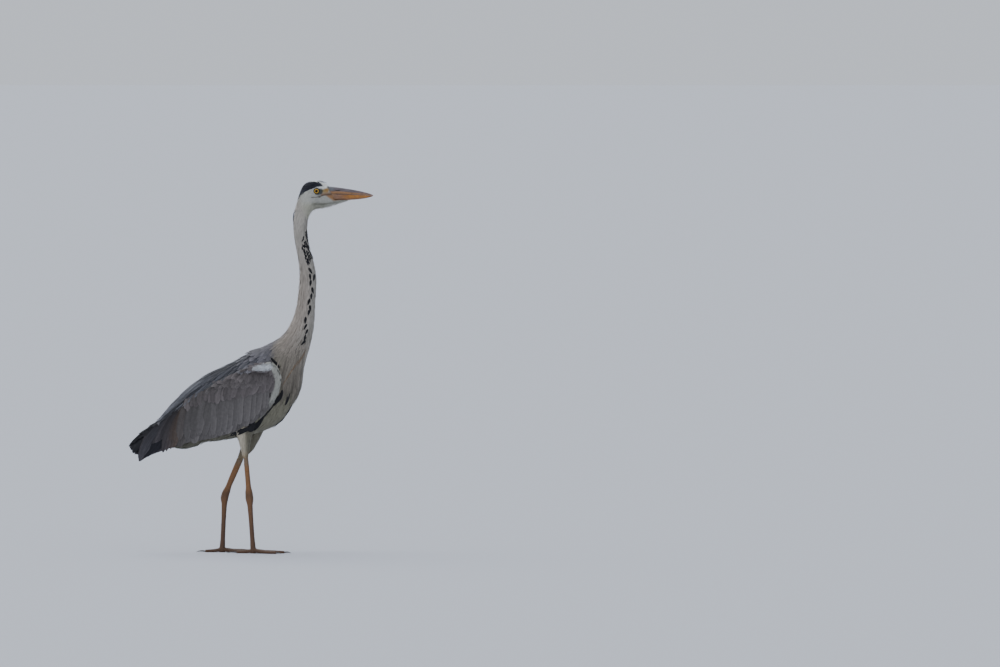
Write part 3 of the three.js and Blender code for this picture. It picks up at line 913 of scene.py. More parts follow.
def bill_half(name, up, depth_at, tint_of):
    """One half of the bill, with the nostril's groove in the upper one and sharp closing edges."""
    reach = -BILL_SUNK + np.linspace(0, 1, BILL_RINGS) * (BILL_LENGTH + BILL_SUNK)
    turn = np.linspace(0, math.pi, BILL_ARC + 1)
    rise, side = np.sin(turn) ** 0.9, np.cos(turn)
    vertices, tints = [], []
    for r, share in zip(reach, np.clip(reach / BILL_LENGTH, 0, 0.999)):
        groove = np.exp(-(((rise - 0.52) / 0.1) ** 2)) * smooth(r, 75, 10) * (0.9 if up > 0 else 0.25)
        slit = np.exp(-(((rise - 0.53) / 0.075) ** 2)) * math.exp(-(((r - 22) / 8) ** 4)) * (up > 0)
        inward = (groove + 1.6 * slit) * np.sign(side) * (np.abs(side) > 0.15)
        y = bill_half_width(share) * side - inward
        z = gape_height(share) + up * (BILL_GAP + depth_at(share) * rise)
        vertices.append(np.stack([np.full_like(y, BILL_ROOT + r), y, z], -1))
        tints.append(np.broadcast_to(tint_of(r, share, rise, slit), (BILL_ARC + 1, 3)))
    piece = mesh_piece(name, np.concatenate(vertices), grid_faces(BILL_RINGS, BILL_ARC + 1))
    paint(piece, np.concatenate(tints))
    outwards(piece)
    edge = piece.modifiers.new("closing_edge", "BEVEL")
    edge.width, edge.segments = CLOSING_EDGE / 1000, 2
    edge.limit_method, edge.angle_limit = "ANGLE", math.radians(60)
    settle(piece, HORN, [name])


HORN = horn_material()
bill_half("bill_upper", 1, upper_depth, upper_bill_tint)
bill_half("bill_lower", -1, lower_depth, lower_bill_tint)

# ------------------------------------------------------------------ eyes

EYEBALL = eye_material()


def eyeball(name, side):
    """A round ball, with its poles out to the side and in."""
    rings, sides = 40, 56
    turn = np.linspace(0, 2 * math.pi, sides, endpoint=False)
    rows = []
    for tilt in np.linspace(0.02, math.pi - 0.02, rings):
        out, around = np.cos(tilt) * EYE_RADIUS * side, np.sin(tilt) * EYE_RADIUS
        ring = np.stack([around * np.cos(turn), np.full(sides, out), around * np.sin(turn)], -1)
        rows.append(ring + EYE * (1, side, 1))
    piece = mesh_piece(name, np.concatenate(rows), grid_faces(rings, sides))
    outwards(piece)
    settle(piece, EYEBALL, [name])


EYE_OPENING = (7.6, 7.1)  # half its width and half its height
LID_WIDTH, LID_DEPTH = 1.3, 0.8


def eyelids(word, side):
    """A soft bare rim round the eye, closed a little from above and below."""
    rings, sides = 72, 10
    vertices, faces = [], []
    for i in range(rings):
        a = 2 * math.pi * i / rings
        reach = np.array([math.cos(a) * EYE_OPENING[0], math.sin(a) * EYE_OPENING[1]])
        x, z = EYE[0] + reach[0], EYE[2] + reach[1]
        skin_y = abs(on_side([(x, z)], side)[0][1])
        ball_y = EYE[1] + math.sqrt(max(EYE_RADIUS**2 - reach @ reach, 0))
        y = max(skin_y - 0.2, ball_y - 0.3)
        outward = np.array([reach[0], 0, reach[1]]) / np.linalg.norm(reach)
        for j in range(sides):
            b = 2 * math.pi * j / sides
            off = outward * LID_WIDTH * math.cos(b) + np.array([0, side * LID_DEPTH * math.sin(b), 0])
            vertices.append(np.array([x, side * y, z]) + off)
            k, m = (i + 1) % rings, (j + 1) % sides
            faces.append((i * sides + j, i * sides + m, k * sides + m, k * sides + j))
    piece = mesh_piece(f"eyelids_{word}", np.array(vertices), faces)
    outwards(piece)
    paint(piece, linear("#1f211e"))
    settle(piece, BARE_SKIN)


BARE_SKIN = leg_material()
for word, side in SIDES.items():
    eyeball(f"eye_{word}", side)
    eyelids(word, side)

# ------------------------------------------------------------------ legs, feet and claws

TOES = ["inner", "middle", "outer", "hind"]
CLAW_HORN = claw_material()


def leg_tint(points, normals):
    """Brown-orange shank, duller at the joints and on the toes, with painted shade on its forward-facing side
    and over the whole far (left) leg.
    """
    z = points[:, 2]
    joint = np.exp(-(((z - 156) / 12) ** 2)) + np.exp(-(((z - 8) / 14) ** 2))
    tint = layered(
        "#6c4c36",
        ("#95683f", smooth(z, 40, 225)),
        ("#5f4531", 0.6 * np.clip(joint, 0, 1)),
        ("#857762", 0.7 * smooth(z, 226, 250)),
    )
    # painted shade: darker where the skin faces forward, and the far (left) leg darker all over
    front = smooth(normals[:, 0], -0.1, 0.9)[:, None]
    return 0.94 * tint * (1 - 0.5 * front) * np.where(points[:, 1] > 0, 0.86, 1.0)[:, None]


HIDDEN_SHANK = 9  # how far the bare shank runs up inside the thigh's feathers
LEG_SWELL = 0.55  # closes the cuts of the leg and makes up for what relaxing takes from thin toes
SOLE = 0.05  # height of the skin's lowest points over the floor


def make_leg(word):
    """One leg's bare skin with its foot, and its claws."""
    nodes = [f"{part}_{word}" for part in ("shin", "tarsus", "foot")]
    leg = remeshed(f"leg_{word}", nodes, voxel_mm=1.25, rounds=7, swell=LEG_SWELL)
    vertices, _, normals = as_arrays(leg.data)
    end, lean = FEATHERS_END[word]
    hidden = smooth(vertices[:, 2], end - 2.5, end) * HIDDEN_SHANK
    vertices += hidden[:, None] * np.array([lean, 0.0, 1.0])
    vertices[:, 2] = np.maximum(vertices[:, 2], SOLE)
    move_vertices(leg.data, vertices)
    paint(leg, leg_tint(vertices, normals))
    settle(leg, BARE_SKIN, nodes)
    for toe in TOES:
        node = f"claw_{word}_{toe}"
        points, faces, _ = merged_copy([node])
        claw = mesh_piece(node, points, faces)
        even = claw.modifiers.new("rounded", "SUBSURF")
        even.levels = even.render_levels = 2
        settle(claw, CLAW_HORN, [node])


SCUTE_VALUES = {"Pitch": 0.0046, "Overlap": 0.8, "Unevenness": 0.02}  # the pitch in metres


def scute_tree():
    """Overlapping ring scutes along rails that carry their own half sizes and facings."""
    tree = bpy.data.node_groups.new("ring_scutes", "GeometryNodeTree")
    sockets = {}
    for name, kind in (
        ("Geometry", "Geometry"),
        *[(name, "Float") for name in SCUTE_VALUES],
        ("Seed", "Int"),
        ("Material", "Material"),
    ):
        socket = tree.interface.new_socket(name=name, in_out="INPUT", socket_type=f"NodeSocket{kind}")
        if name in SCUTE_VALUES:
            socket.default_value = SCUTE_VALUES[name]
        sockets[name] = socket.identifier
    tree.interface.new_socket(name="Geometry", in_out="OUTPUT", socket_type="NodeSocketGeometry")
    given = add_node(tree, "NodeGroupInput").outputs
    rail = add_node(tree, "GeometryNodeMeshToCurve", {"Mesh": given["Geometry"]})
    spacing = {"Curve": rail.outputs[0], "Length": given["Pitch"]}
    spaced = add_node(tree, "GeometryNodeResampleCurve", spacing, mode="LENGTH")
    ring = add_node(tree, "GeometryNodeMeshUVSphere", {"Segments": 16, "Rings": 6, "Radius": 1.0})
    facing, girth = (
        add_node(tree, "GeometryNodeInputNamedAttribute", {"Name": name}, data_type="FLOAT_VECTOR").outputs[0]
        for name in ("Facing", "Girth")
    )
    along = add_node(tree, "GeometryNodeInputTangent")
    upright = add_node(tree, "FunctionNodeAlignRotationToVector", {"Vector": along.outputs[0]}, axis="Z")
    turning = {"Rotation": upright.outputs[0], "Vector": facing}
    turned_to = add_node(tree, "FunctionNodeAlignRotationToVector", turning, axis="X", pivot_axis="Z")
    parts = add_node(tree, "ShaderNodeSeparateXYZ", {0: girth})
    height = maths(tree, "MULTIPLY", given["Pitch"], given["Overlap"])
    halves = {0: parts.outputs[0], 1: parts.outputs[1], 2: height}
    size = add_node(tree, "ShaderNodeCombineXYZ", halves)
    uneven = add_node(tree, "FunctionNodeRandomValue", data_type="FLOAT")
    for socket, source in (
        ("Min", maths(tree, "SUBTRACT", 1.0, given["Unevenness"])),
        ("Max", maths(tree, "ADD", 1.0, given["Unevenness"])),
        ("Seed", given["Seed"]),
    ):
        tree.links.new(source, next(s for s in uneven.inputs if s.name == socket and s.enabled))
    scaling = {0: size.outputs[0], "Scale": next(s for s in uneven.outputs if s.enabled)}
    scale = add_node(tree, "ShaderNodeVectorMath", scaling, operation="SCALE")
    placing = {
        "Points": spaced.outputs[0],
        "Instance": ring.outputs["Mesh"],
        "Rotation": turned_to.outputs[0],
        "Scale": scale.outputs[0],
    }
    rings = add_node(tree, "GeometryNodeInstanceOnPoints", placing)
    real = add_node(tree, "GeometryNodeRealizeInstances", {"Geometry": rings.outputs[0]})
    dressing = {"Geometry": real.outputs[0], "Material": given["Material"]}
    dressed = add_node(tree, "GeometryNodeSetMaterial", dressing)
    add_node(tree, "NodeGroupOutput", {0: dressed.outputs[0]})
    return tree, sockets


def slice_of(points, centre, along, across, reach):
    """(middle offset across, half size across, highest point) of a limb cut near a centre."""
    offset = points - centre
    sideways = offset @ across
    near = (np.abs(offset @ along) < 1.6) & (np.abs(sideways) < reach) & (points[:, 2] < centre[2] + 16)
    low, high = sideways[near].min(), sideways[near].max()
    return (low + high) / 2, (high - low) / 2, points[near, 2].max()


def rails_of(word, leg_points):
    """Rails of one leg: points, edges, half sizes and facings, up the shank and along each toe."""
    rows, edges = [], []
    for z in np.arange(24, 142, 5.0):
        ring = leg_points[np.abs(leg_points[:, 2] - z) < 1.6]
        middle, half = (ring.max(0) + ring.min(0)) / 2, (ring.max(0) - ring.min(0)) / 2
        if rows:
            edges.append((len(rows) - 1, len(rows)))
        rows.append(((middle[0] + 0.55, middle[1], z), (half[0] - 0.05, half[1] + 0.1, 0), (1, 0, 0)))
    foot = leg_points[np.abs(leg_points[:, 2] - 14) < 1.5].mean(0) * (1, 1, 0)
    for toe in TOES:
        claw = merged_copy([f"claw_{word}_{toe}"])[0].mean(0) * (1, 1, 0)
        length = np.linalg.norm(claw - foot) - (12 if toe == "hind" else 9)
        along = unit(claw - foot)
        across = np.array([-along[1], along[0], 0])
        for k, run in enumerate(np.arange(15, length - 1.5, 4.0)):
            centre = foot + along * run
            shift, half, top = slice_of(leg_points, centre, along, across, 8.0)
            if k:
                edges.append((len(rows) - 1, len(rows)))
            spot = centre + across * shift + (0, 0, top / 2 + 0.35)
            rows.append((spot, (min(half, 5.5) + 0.1, top / 2 + 0.05, 0), across))
    points, girths, facings = (np.array(column, float) for column in zip(*rows))
    return points, edges, girths, facings


def make_scutes(word, seed):
    """Ring scutes down the front of one leg and over its toes."""
    points, edges, girths, facings = rails_of(word, as_arrays(bpy.data.objects[f"leg_{word}"].data)[0])
    mesh = bpy.data.meshes.new(f"scutes_{word}")
    mesh.from_pydata(metres(points).tolist(), edges, [])
    for name, values in (("Girth", girths / 1000), ("Facing", facings)):
        layer = mesh.attributes.new(name, "FLOAT_VECTOR", "POINT")
        layer.data.foreach_set("vector", values.ravel())
    piece = bpy.data.objects.new(f"scutes_{word}", mesh)
    bpy.context.scene.collection.objects.link(piece)
    tree, sockets = SCUTES
    modifier = piece.modifiers.new("ring_scutes", "NODES")
    modifier.node_group = tree
    for name, value in {**SCUTE_VALUES, "Seed": seed, "Material": BARE_SKIN}.items():
        modifier[sockets[name]] = value
    grown = applied(piece)
    piece.modifiers.remove(modifier)
    piece.data = grown
    shade_smooth(grown)
    vertices, _, normals = as_arrays(grown)
    vertices[:, 2] = np.maximum(vertices[:, 2], 2 * SOLE)
    move_vertices(grown, vertices)
    paint(piece, leg_tint(vertices, normals) * 0.94)
    settle(piece, BARE_SKIN)


for word in SIDES:
    make_leg(word)
SCUTES = scute_tree()
make_scutes("left", 5)
make_scutes("right", 6)

# ------------------------------------------------------------------ feathers: how one is made and laid

skin_face_normals = unit(np.array([skin_normals[list(face)].mean(0) for face in skin_faces]))
skin_face_owner = skin_owner[[face[0] for face in skin_faces]].astype(str)

# Outlines of vanes: (share of the length, share of the width) from root to tip.
CONTOUR = [(0.08, 0.4), (0.3, 0.86), (0.55, 1.0), (0.78, 0.86), (0.94, 0.46)]
LANCE = [(0.05, 0.45), (0.22, 0.9), (0.42, 1.0), (0.62, 0.8), (0.8, 0.52), (0.94, 0.2)]
WISP = [(0.1, 0.6), (0.36, 1.0), (0.66, 0.8), (0.9, 0.34)]
BLADE = [(0.04, 0.4), (0.16, 0.85), (0.4, 1.0), (0.62, 0.92), (0.8, 0.7), (0.92, 0.42), (0.985, 0.16)]
STRAP = [(0.04, 0.4), (0.16, 0.85), (0.4, 1.0), (0.65, 1.0), (0.82, 0.9), (0.93, 0.66), (0.985, 0.32)]
PLUME = [
    (0.03, 0.6), (0.1, 0.9), (0.25, 1.0), (0.4, 1.0), (0.55, 0.9), (0.7, 0.75), (0.85, 0.5), (0.95, 0.25),
]

# Places of the upper side's rows of vertices across a vane, as shares of its half width.
NARROW = np.array([-1.0, 0.0, 1.0])
BROAD = np.array([-1.0, -0.5, 0.0, 0.5, 1.0])


def on_skin(points):
    """(nearest skin points, the skin's smoothed normals there)."""
    found, face = nearest(skin_tree, points)
    return found, skin_face_normals[face]


def lies_on(points, part):
    """Whether the skin under each point belongs to that part of the body."""
    return np.char.startswith(skin_face_owner[nearest(skin_tree, points)[1]], part)


def flattened(headings, normals, share=1.0):
    """Headings with the part along the normals taken out."""
    return unit(headings - normals * ((headings * normals).sum(-1, keepdims=True) * share))


def facing(line, direction):
    """Normals along middle lines, turned to a direction as nearly as the lines let them."""
    return flattened(np.broadcast_to(direction, line.shape), unit(np.gradient(line, axis=1)))


def turned(headings, normals, degrees):
    """Headings turned about the normals."""
    angle = np.radians(degrees)[:, None]
    return headings * np.cos(angle) + np.cross(normals, headings) * np.sin(angle)


def shares_of(form):
    """Shares of the length at which a form's rows lie, with root and tip."""
    return np.array([0.0] + [share for share, _ in form] + [1.0])


def laid(roots, headings, lengths, form, lift, rise, stiff=0.0, droop=0.0):
    """Middle lines and normals of vanes laid over the skin, row by row from root to tip.

    They lie `lift` above the skin at the root and `rise` more at the tip. A stiff vane keeps
    its own line where the skin falls away, and droop turns it downwards for each mm.
    """
    spot, up = on_skin(roots)
    heading = flattened(headings, up)
    spot = spot + up * lift
    lines, normals = [spot], [up]
    shares = shares_of(form)
    for before, share in zip(shares[:-1], shares[1:]):
        step = lengths * (share - before)
        heading = unit(heading + np.array([0, 0, -1.0]) * (droop * step)[:, None])
        spot = spot + heading * step[:, None]
        ground, up = on_skin(spot)
        height = ((spot - ground) * up).sum(-1)
        wanted = lift + rise * share
        target = wanted + np.maximum(height - wanted, 0) * stiff
        spot = spot + up * (target - height)[:, None]
        heading = flattened(heading, up, 1 - stiff)
        lines.append(spot)
        normals.append(unit(normals[-1] * stiff + up * (1 - stiff) + up * 0.001))
    return np.stack(lines, 1), np.stack(normals, 1)


def vanes(line, normal, form, width, root_tint, tip_tint, *, knots=NARROW, camber=0.12, thick=0.3,
          roll=0.0, fringe=1.08):
    """Solid vanes over middle lines. Each row is a ring of the upper side's knots and one underneath.

    `fringe` is how much lighter both edges are than the middle, or the left and the right one.
    """
    count, around, rows = len(line), len(knots) + 1, len(form)
    heading = unit(np.gradient(line, axis=1))
    side = unit(np.cross(normal, heading))
    up = np.cross(heading, side)
    lean = np.broadcast_to(np.radians(roll), (count,))[:, None, None]
    side, up = side * np.cos(lean) + up * np.sin(lean), up * np.cos(lean) - side * np.sin(lean)
    half = np.asarray(width)[:, None] * np.array([w for _, w in form]) / 2
    inner, side, up = line[:, 1:-1], side[:, 1:-1], up[:, 1:-1]
    rings = []
    for a in knots:
        height = thick / 2 * (1 - a * a) - 2 * camber * half * a * a
        rings.append(inner + side * (half * a)[..., None] + up * height[..., None])
    rings.append(inner - up * thick / 2)
    rings = np.stack(rings, 2).reshape(count, rows * around, 3)
    vertices = np.concatenate([line[:, :1], rings, line[:, -1:]], 1)

    faces = []
    for j in range(around):
        k = (j + 1) % around
        faces.append((0, 1 + j, 1 + k))
        for i in range(rows - 1):
            a, b = 1 + i * around + j, 1 + i * around + k
            faces += [(a, a + around, b + around), (a, b + around, b)]
        last = 1 + (rows - 1) * around
        faces.append((last + around, last + k, last + j))
    faces = np.array(faces)[None] + (np.arange(count) * vertices.shape[1])[:, None, None]

    along = np.concatenate([[0], np.repeat(shares_of(form)[1:-1], around), [1]])
    across = np.concatenate([[0], np.tile(np.append(knots, 0.0), rows), [0]])
    reach = np.pad(np.repeat(half, around, axis=1), ((0, 0), (1, 1)))
    lengths = np.linalg.norm(np.diff(line, axis=1), axis=-1).sum(-1)
    tint = root_tint[:, None] + (tip_tint - root_tint)[:, None] * (along**1.2)[None, :, None]
    left, right = fringe if isinstance(fringe, tuple) else (fringe, fringe)
    tint = tint * np.interp(across, [-1, -0.5, 0, 0.5, 1], [left, 1, 1, 1, right])[None, :, None]
    patch = np.stack([across, 2 * along - 1], -1)
    return {
        "vertices": vertices.reshape(-1, 3),
        "faces": faces.reshape(-1, 3),
        "tint": tint.reshape(-1, 3),
        "vane": np.stack([across * reach, along * lengths[:, None]], -1).reshape(-1, 2) / 10,
        "patch": np.broadcast_to(patch, (count, len(along), 2)).reshape(-1, 2),
        "root": np.repeat(line[:, 0], len(along), axis=0),
    }


PATCH = 0.003  # how wide each vane lies on the bake map


def coat(name, groups, material):
    """One joined mesh of several groups of vanes."""
    shift = np.cumsum([0] + [len(g["vertices"]) for g in groups])
    faces = np.concatenate([g["faces"] + s for g, s in zip(groups, shift)])
    whole = {key: np.concatenate([g[key] for g in groups]) for key in groups[0]}
    piece = mesh_piece(name, whole["vertices"], faces.tolist())
    piece.data.set_sharp_from_angle(angle=math.radians(75))
    paint(piece, np.clip(whole["tint"], 0, 1))
    corner_map(piece, "Vane", whole["vane"])
    share, angle, _ = along_body(whole["root"])
    place = np.stack([angle, share], -1)
    low, high = place.min(0), place.max(0)
    place = 0.01 + 0.98 * (place - low) / np.maximum(high - low, 1e-6)
    corner_map(piece, "OFBake", place + whole["patch"] * PATCH / 2)
    settle(piece, material)


def scattered(chosen, spacing):
    """Numbers of skin points picked at random among the chosen ones, no nearer than the spacing."""
    picked, cells = [], {}
    numbers = chance.permutation(np.nonzero(chosen)[0])
    gap = np.broadcast_to(spacing, (len(skin_points),))
    cell = float(gap[numbers].max())
    around = list(itertools.product((-1, 0, 1), repeat=3))
    for i in numbers:
        p = skin_points[i]
        x, y, z = (p // cell).astype(int).tolist()
        near = [q for dx, dy, dz in around for q in cells.get((x + dx, y + dy, z + dz), ())]
        if near and (((skin_points[near] - p) ** 2).sum(-1) < gap[i] ** 2).any():
            continue
        cells.setdefault((x, y, z), []).append(i)
        picked.append(i)
    return np.array(picked)


def between(low, high, count):
    """Random values between two limits."""
    return low + (high - low) * chance.random(count)


def speckled(tints, amount):
    """Tints, each a little lighter or darker than given."""
    return tints * (1 + amount * chance.standard_normal((len(tints), 1))).clip(0.6, 1.5)


def at_roots(value, roots):
    """A value, or what a function of place gives at each root."""
    return value(roots) if callable(value) else value


SHARPEST_STEP, SHARPEST_TURN = 0.7, 0.6  # cosines of the sharpest bend and turn of a vane


def tract(chosen, form, tint_of, *, spacing, length, width, lift, rise, stray=7.0, speckle=0.05,
          root_shade=0.8, heading=None, stiff=0.0, droop=0.0, tip_shade=1.05, keep_off=None, **shape):
    """A tract of vanes scattered over part of the skin, lying along the body unless told otherwise.

    `stray` is how far their directions vary, in degrees, and `speckle` how much their shades do.
    """
    picked = scattered(chosen, spacing)
    roots = skin_points[picked]
    count = len(picked)
    size = between(0.88, 1.12, count)
    lengths, widths = at_roots(length, roots) * size, at_roots(width, roots) * size
    headings = along_body(roots)[2] if heading is None else heading(roots)
    headings = turned(headings, skin_normals[picked], stray * chance.standard_normal(count))
    line, normal = laid(roots, headings, lengths, form, lift, at_roots(rise, roots), stiff, droop)
    # Vanes that a crease in the form under them would kink are left out.
    steps = unit(np.diff(line, axis=1))
    free = ((steps[:, 1:] * steps[:, :-1]).sum(-1) > SHARPEST_STEP).all(1)
    free &= ((normal[:, 1:] * normal[:, :-1]).sum(-1) > SHARPEST_TURN).all(1)
    if keep_off:
        free &= ~lies_on(line[:, -1], keep_off) & ~lies_on(line[:, len(form) // 2], keep_off)
    line, normal, widths = line[free], normal[free], widths[free]
    tint = speckled(tint_of(line[:, int(len(form) * 0.7) + 1]), speckle)
    return vanes(line, normal, form, widths, tint * root_shade, tint * tip_shade, **shape)


# ------------------------------------------------------------------ feathers: head and neck

WEB = feather_material("contour_feathers", shaft=0.86)
SOFT_WEB = feather_material("loose_plumes", barb_mm=1.5, roughness=0.85, mottle=0.06)
QUILL_WEB = feather_material("flight_feathers", barb_mm=1.9, shaft=0.6, roughness=0.7, mottle=0.1, sheen=0.03)
DARK_WEB = feather_material("black_feathers", roughness=0.6, mottle=0.2, sheen=0.03)

skin_x, skin_y, skin_z = skin_points.T
skin_front = body_place(skin_points)[1]
is_head = skin_owner == "head"
is_neck = np.char.startswith(skin_owner.astype(str), "neck")
is_trunk = skin_owner == "trunk"
in_bare_area = np.maximum.reduce([inside(skin_x, skin_z, area, 2) for area in BARE_AREAS])
bare_face = in_bare_area * (np.abs(skin_y) > 4.5) > 0.3
near_eye = np.hypot(skin_x - EYE[0], skin_z - EYE[2]) < 9.2
crown = is_head & (inside(skin_x, skin_z, CAP, 2) * (1 - crown_gap(skin_x, skin_y)) > 0.5)

# Free plumes: (side-view path, places across at root and tip, width). Two hang down close behind
# the nape, and three thin ones stand over the forehead.
FREE_PLUMES = [
    ([(132, 950), (124, 936), (115, 918), (113, 898), (115, 876)], (1.5, 0.5), 2.4),
    ([(132, 946), (124, 932), (117, 914), (115, 896), (118, 884)], (-2.5, -3.5), 2.0),
    ([(172, 998), (186, 1003), (196, 1002), (205, 998)], (-2.0, -3.0), 1.3),
    ([(174, 997), (184, 1001), (193, 1001), (201, 998)], (2.0, 4.0), 1.2),
    ([(170, 998), (178, 1003), (186, 1005), (192, 1004)], (0.5, 1.0), 1.2),
]


def head_feathers():
    """Small feathers of face and throat, the black cap, and the free plumes."""
    small = tract(
        is_head & ~bare_face & ~near_eye & ~crown & (skin_x < 262), WISP, head_tint,
        spacing=2.2 + 0.8 * smooth(skin_x, 190, 140),
        length=lambda p: 6.5 + 7 * smooth(p[:, 0], 195, 145) + 3 * smooth(p[:, 2], 946, 938),
        width=2.4, lift=0.1,
        rise=lambda p: 0.75 + 1.1 * smooth(p[:, 2], 946, 938) + 0.4 * smooth(p[:, 2], 988, 994)
        + 2.4 * smooth(p[:, 0], 144, 132),
        stray=9, speckle=0.045, thick=0.2, root_shade=0.86,
    )
    throat = tract(
        is_head & (skin_z < 949) & (skin_x < 245) & (skin_normals[:, 2] < -0.35), WISP, head_tint,
        spacing=4.5, length=14, width=1.7, lift=0.2, rise=5.0,
        stray=20, speckle=0.08, thick=0.2, root_shade=0.9,
    )
    coat("head_feathers", [small, throat], WEB)
    cap = tract(
        crown & ~near_eye, LANCE, lambda p: HUES["cap"] * clouded(p, 0.2),
        spacing=2.5, length=lambda p: 9 + 8 * smooth(p[:, 0], 180, 140), width=3.0, lift=0.15,
        rise=lambda p: 1.3 + 1.6 * smooth(p[:, 0], 142, 128),
        stray=6, speckle=0.25, thick=0.22, fringe=1.35, stiff=0.4,
    )
    # A few crown feathers stand up where the cap begins.
    tuft = tract(
        crown & (skin_x > 171) & (skin_x < 190) & (skin_z > 990), LANCE,
        lambda p: repeated(HUES["cap"], len(p)),
        spacing=3.4, length=13, width=2.6, lift=0.3, rise=3.6,
        stray=14, speckle=0.25, thick=0.22, stiff=0.6,
    )
    groups = [cap, tuft]
    shares, steps = shares_of(PLUME), 40
    black = HUES["cap"][None]
    for path, sideways, width in FREE_PLUMES:
        x, z = through(path, steps)[np.round(shares * (steps - 1)).astype(int)].T
        line = np.stack([x, np.interp(shares, [0, 1], sideways), z], -1)[None]
        normal = facing(line, [0.0, -1.0, 0.0])
        groups.append(vanes(line, normal, PLUME, np.array([width]), black, black, thick=0.8))
    coat("crest_and_nape_plumes", groups, DARK_WEB)


def neck_rise(points):
    """How far feathers' tips stand off: loosest behind the neck's middle and at its base."""
    x, _, z = points.T
    behind = smooth(x - 0.12 * (z - 750), 152, 138) * np.exp(-(((z - 748) / 55) ** 2))
    return 1.9 + 0.7 * smooth(z, 760, 640) + 2.2 * behind


def neck_feathers():
    """Soft feathers round the neck, longer towards the body."""
    for place, part in (("upper", is_neck & (skin_z > 760)), ("lower", is_neck & (skin_z <= 760))):
        plumage = tract(
            part, WISP, neck_tint,
            spacing=2.9 + 0.9 * smooth(skin_z, 900, 640),
            length=lambda p: 16 + 16 * smooth(p[:, 2], 920, 640),
            width=lambda p: 2.7 + 1.2 * smooth(p[:, 2], 920, 640),
            lift=0.3, rise=neck_rise, stray=6, speckle=0.085, root_shade=0.86, thick=0.22,
        )
        coat(f"neck_feathers_{place}", [plumage], SOFT_WEB)


def neck_flecks():
    """Black flecks down the neck's front: crowded above, in single file below."""
    crowd = tract(
        is_neck & (inside(skin_x, skin_z, FLECK_PATCH, 1.5) > 0.5), LANCE,
        lambda p: repeated(HUES["black"], len(p)),
        spacing=5.0, length=11, width=3.9, lift=2.2, rise=1.2, stray=24, speckle=0.2,
    )
    groups = [crowd]
    for side in (RIGHT, LEFT):
        place = np.concatenate([through(path, count) for path, count in FLECK_FILES])
        count = len(place)
        place = place + chance.uniform(-0.8, 0.8, (count, 2))
        roots = on_side(place, side)
        slant = np.where(np.arange(count) % 3 == 1, -12, 9) * side
        headings = turned(along_body(roots)[2], on_skin(roots)[1], slant + 6 * chance.standard_normal(count))
        line, normal = laid(roots, headings, between(17, 21, count), LANCE, 2.4, 1.6)
        black = speckled(repeated(HUES["black"], count), 0.15)
        groups.append(vanes(line, normal, LANCE, between(6.0, 7.6, count), black, black))
    coat("neck_flecks", groups, DARK_WEB)


def breast_plumes():
    """Long narrow plumes hang from the base of the neck over the breast."""
    # They keep clear of the wings' leading edges: (height, x) down those edges.
    below = np.linspace(514, 393, 12)
    edge = np.interp(below, [393, 426, 463, 484, 502, 514], [47, 69, 80, 77, 68, 54])
    path = skin_x[:, None] - 0.2 * (skin_z[:, None] - below)
    clear = (path > edge + 5).all(1)
    plumes = tract(
        (is_neck | is_trunk) & (skin_z > 545) & (skin_z < 655) & (skin_front > 0.3) & clear,
        LANCE, plume_tint,
        spacing=4.4, length=lambda p: (p[:, 2] - 402) * between(0.7, 1.06, len(p)), width=3.6,
        lift=0.2, rise=4.0, heading=lambda p: unit(along_body(p)[2] * 0.75 + np.array([0.05, 0, -1.0])),
        droop=0.002, stray=4.5, speckle=0.12, root_shade=1.06, tip_shade=0.88, fringe=1.14,
    )
    # The lowest plumes of each side gather along a warm brown edge.
    groups, count = [plumes], 7
    for side in (RIGHT, LEFT):
        roots = on_side(through(PLUME_EDGE, count), side)
        headings = np.tile([-0.56, 0, -0.83], (count, 1))
        line, normal = laid(roots, headings, between(30, 44, count), LANCE, 3.2, 1.2)
        warm = speckled(repeated(HUES["plume_edge"], count), 0.1)
        groups.append(vanes(line, normal, LANCE, np.full(count, 2.2), warm, warm))
    coat("breast_plumes", groups, SOFT_WEB)


# ------------------------------------------------------------------ feathers: back, belly and thighs


def reach_to(edge, roots, headings, longest):
    """How far each root can run along its heading before it passes below a side-view line."""
    line_x, line_z = np.array(edge, float)[::-1].T
    steps = np.arange(4.0, longest + 4, 4.0)
    x = roots[:, 0, None] + headings[:, 0, None] * steps
    z = roots[:, 2, None] + headings[:, 2, None] * steps
    below = z < np.interp(x, line_x, line_z)
    return steps[np.where(below.any(1), below.argmax(1), len(steps) - 1)]


LONGEST_PLUME = 120
PLUME_TIPS_X = -256  # how far back the plumes of the back reach
# Along this line the plumes are painted near black: a painted shadow in the gap between them and the right
# wing.
SHADOW_GAP_LINE = [(-140, 445), (-171, 421), (-207, 391), (-244, 354)]  # where they meet the right wing


def scapular_heading(roots):
    """Back along the body, and a little down over the wing."""
    return unit(along_body(roots)[2] + np.array([0, 0, -0.2]))


def back_tint(points):
    """Grey of the mantle, warmer where it meets the neck."""
    share = smooth(grey_back(points), 0.15, 0.65)
    return mixed(HUES["neck_warm"], HUES["mantle"], share) * clouded(points, 0.12)


def scapular_tint(points):
    """Bluish grey, lighter behind, with painted shade where the plumes face up and a painted black shadow
    where they meet the right wing's quills.
    """
    behind = smooth(points[:, 0], -90, -170)
    # painted shade: plumes that face up are darkened against the light from above
    upward = smooth(on_skin(points)[1][:, 2], 0.3, 0.9)
    shade = (0.74 + 0.56 * behind) * (1 - 0.3 * upward)
    # painted shadow in the gap along the right wing
    near = smooth(gap_to(SHADOW_GAP_LINE, points[:, [0, 2]]), 5, 3) * (points[:, 1] < 0)
    return mixed(HUES["scapular"] * shade[:, None] * clouded(points, 0.1), HUES["black"], 0.75 * near)


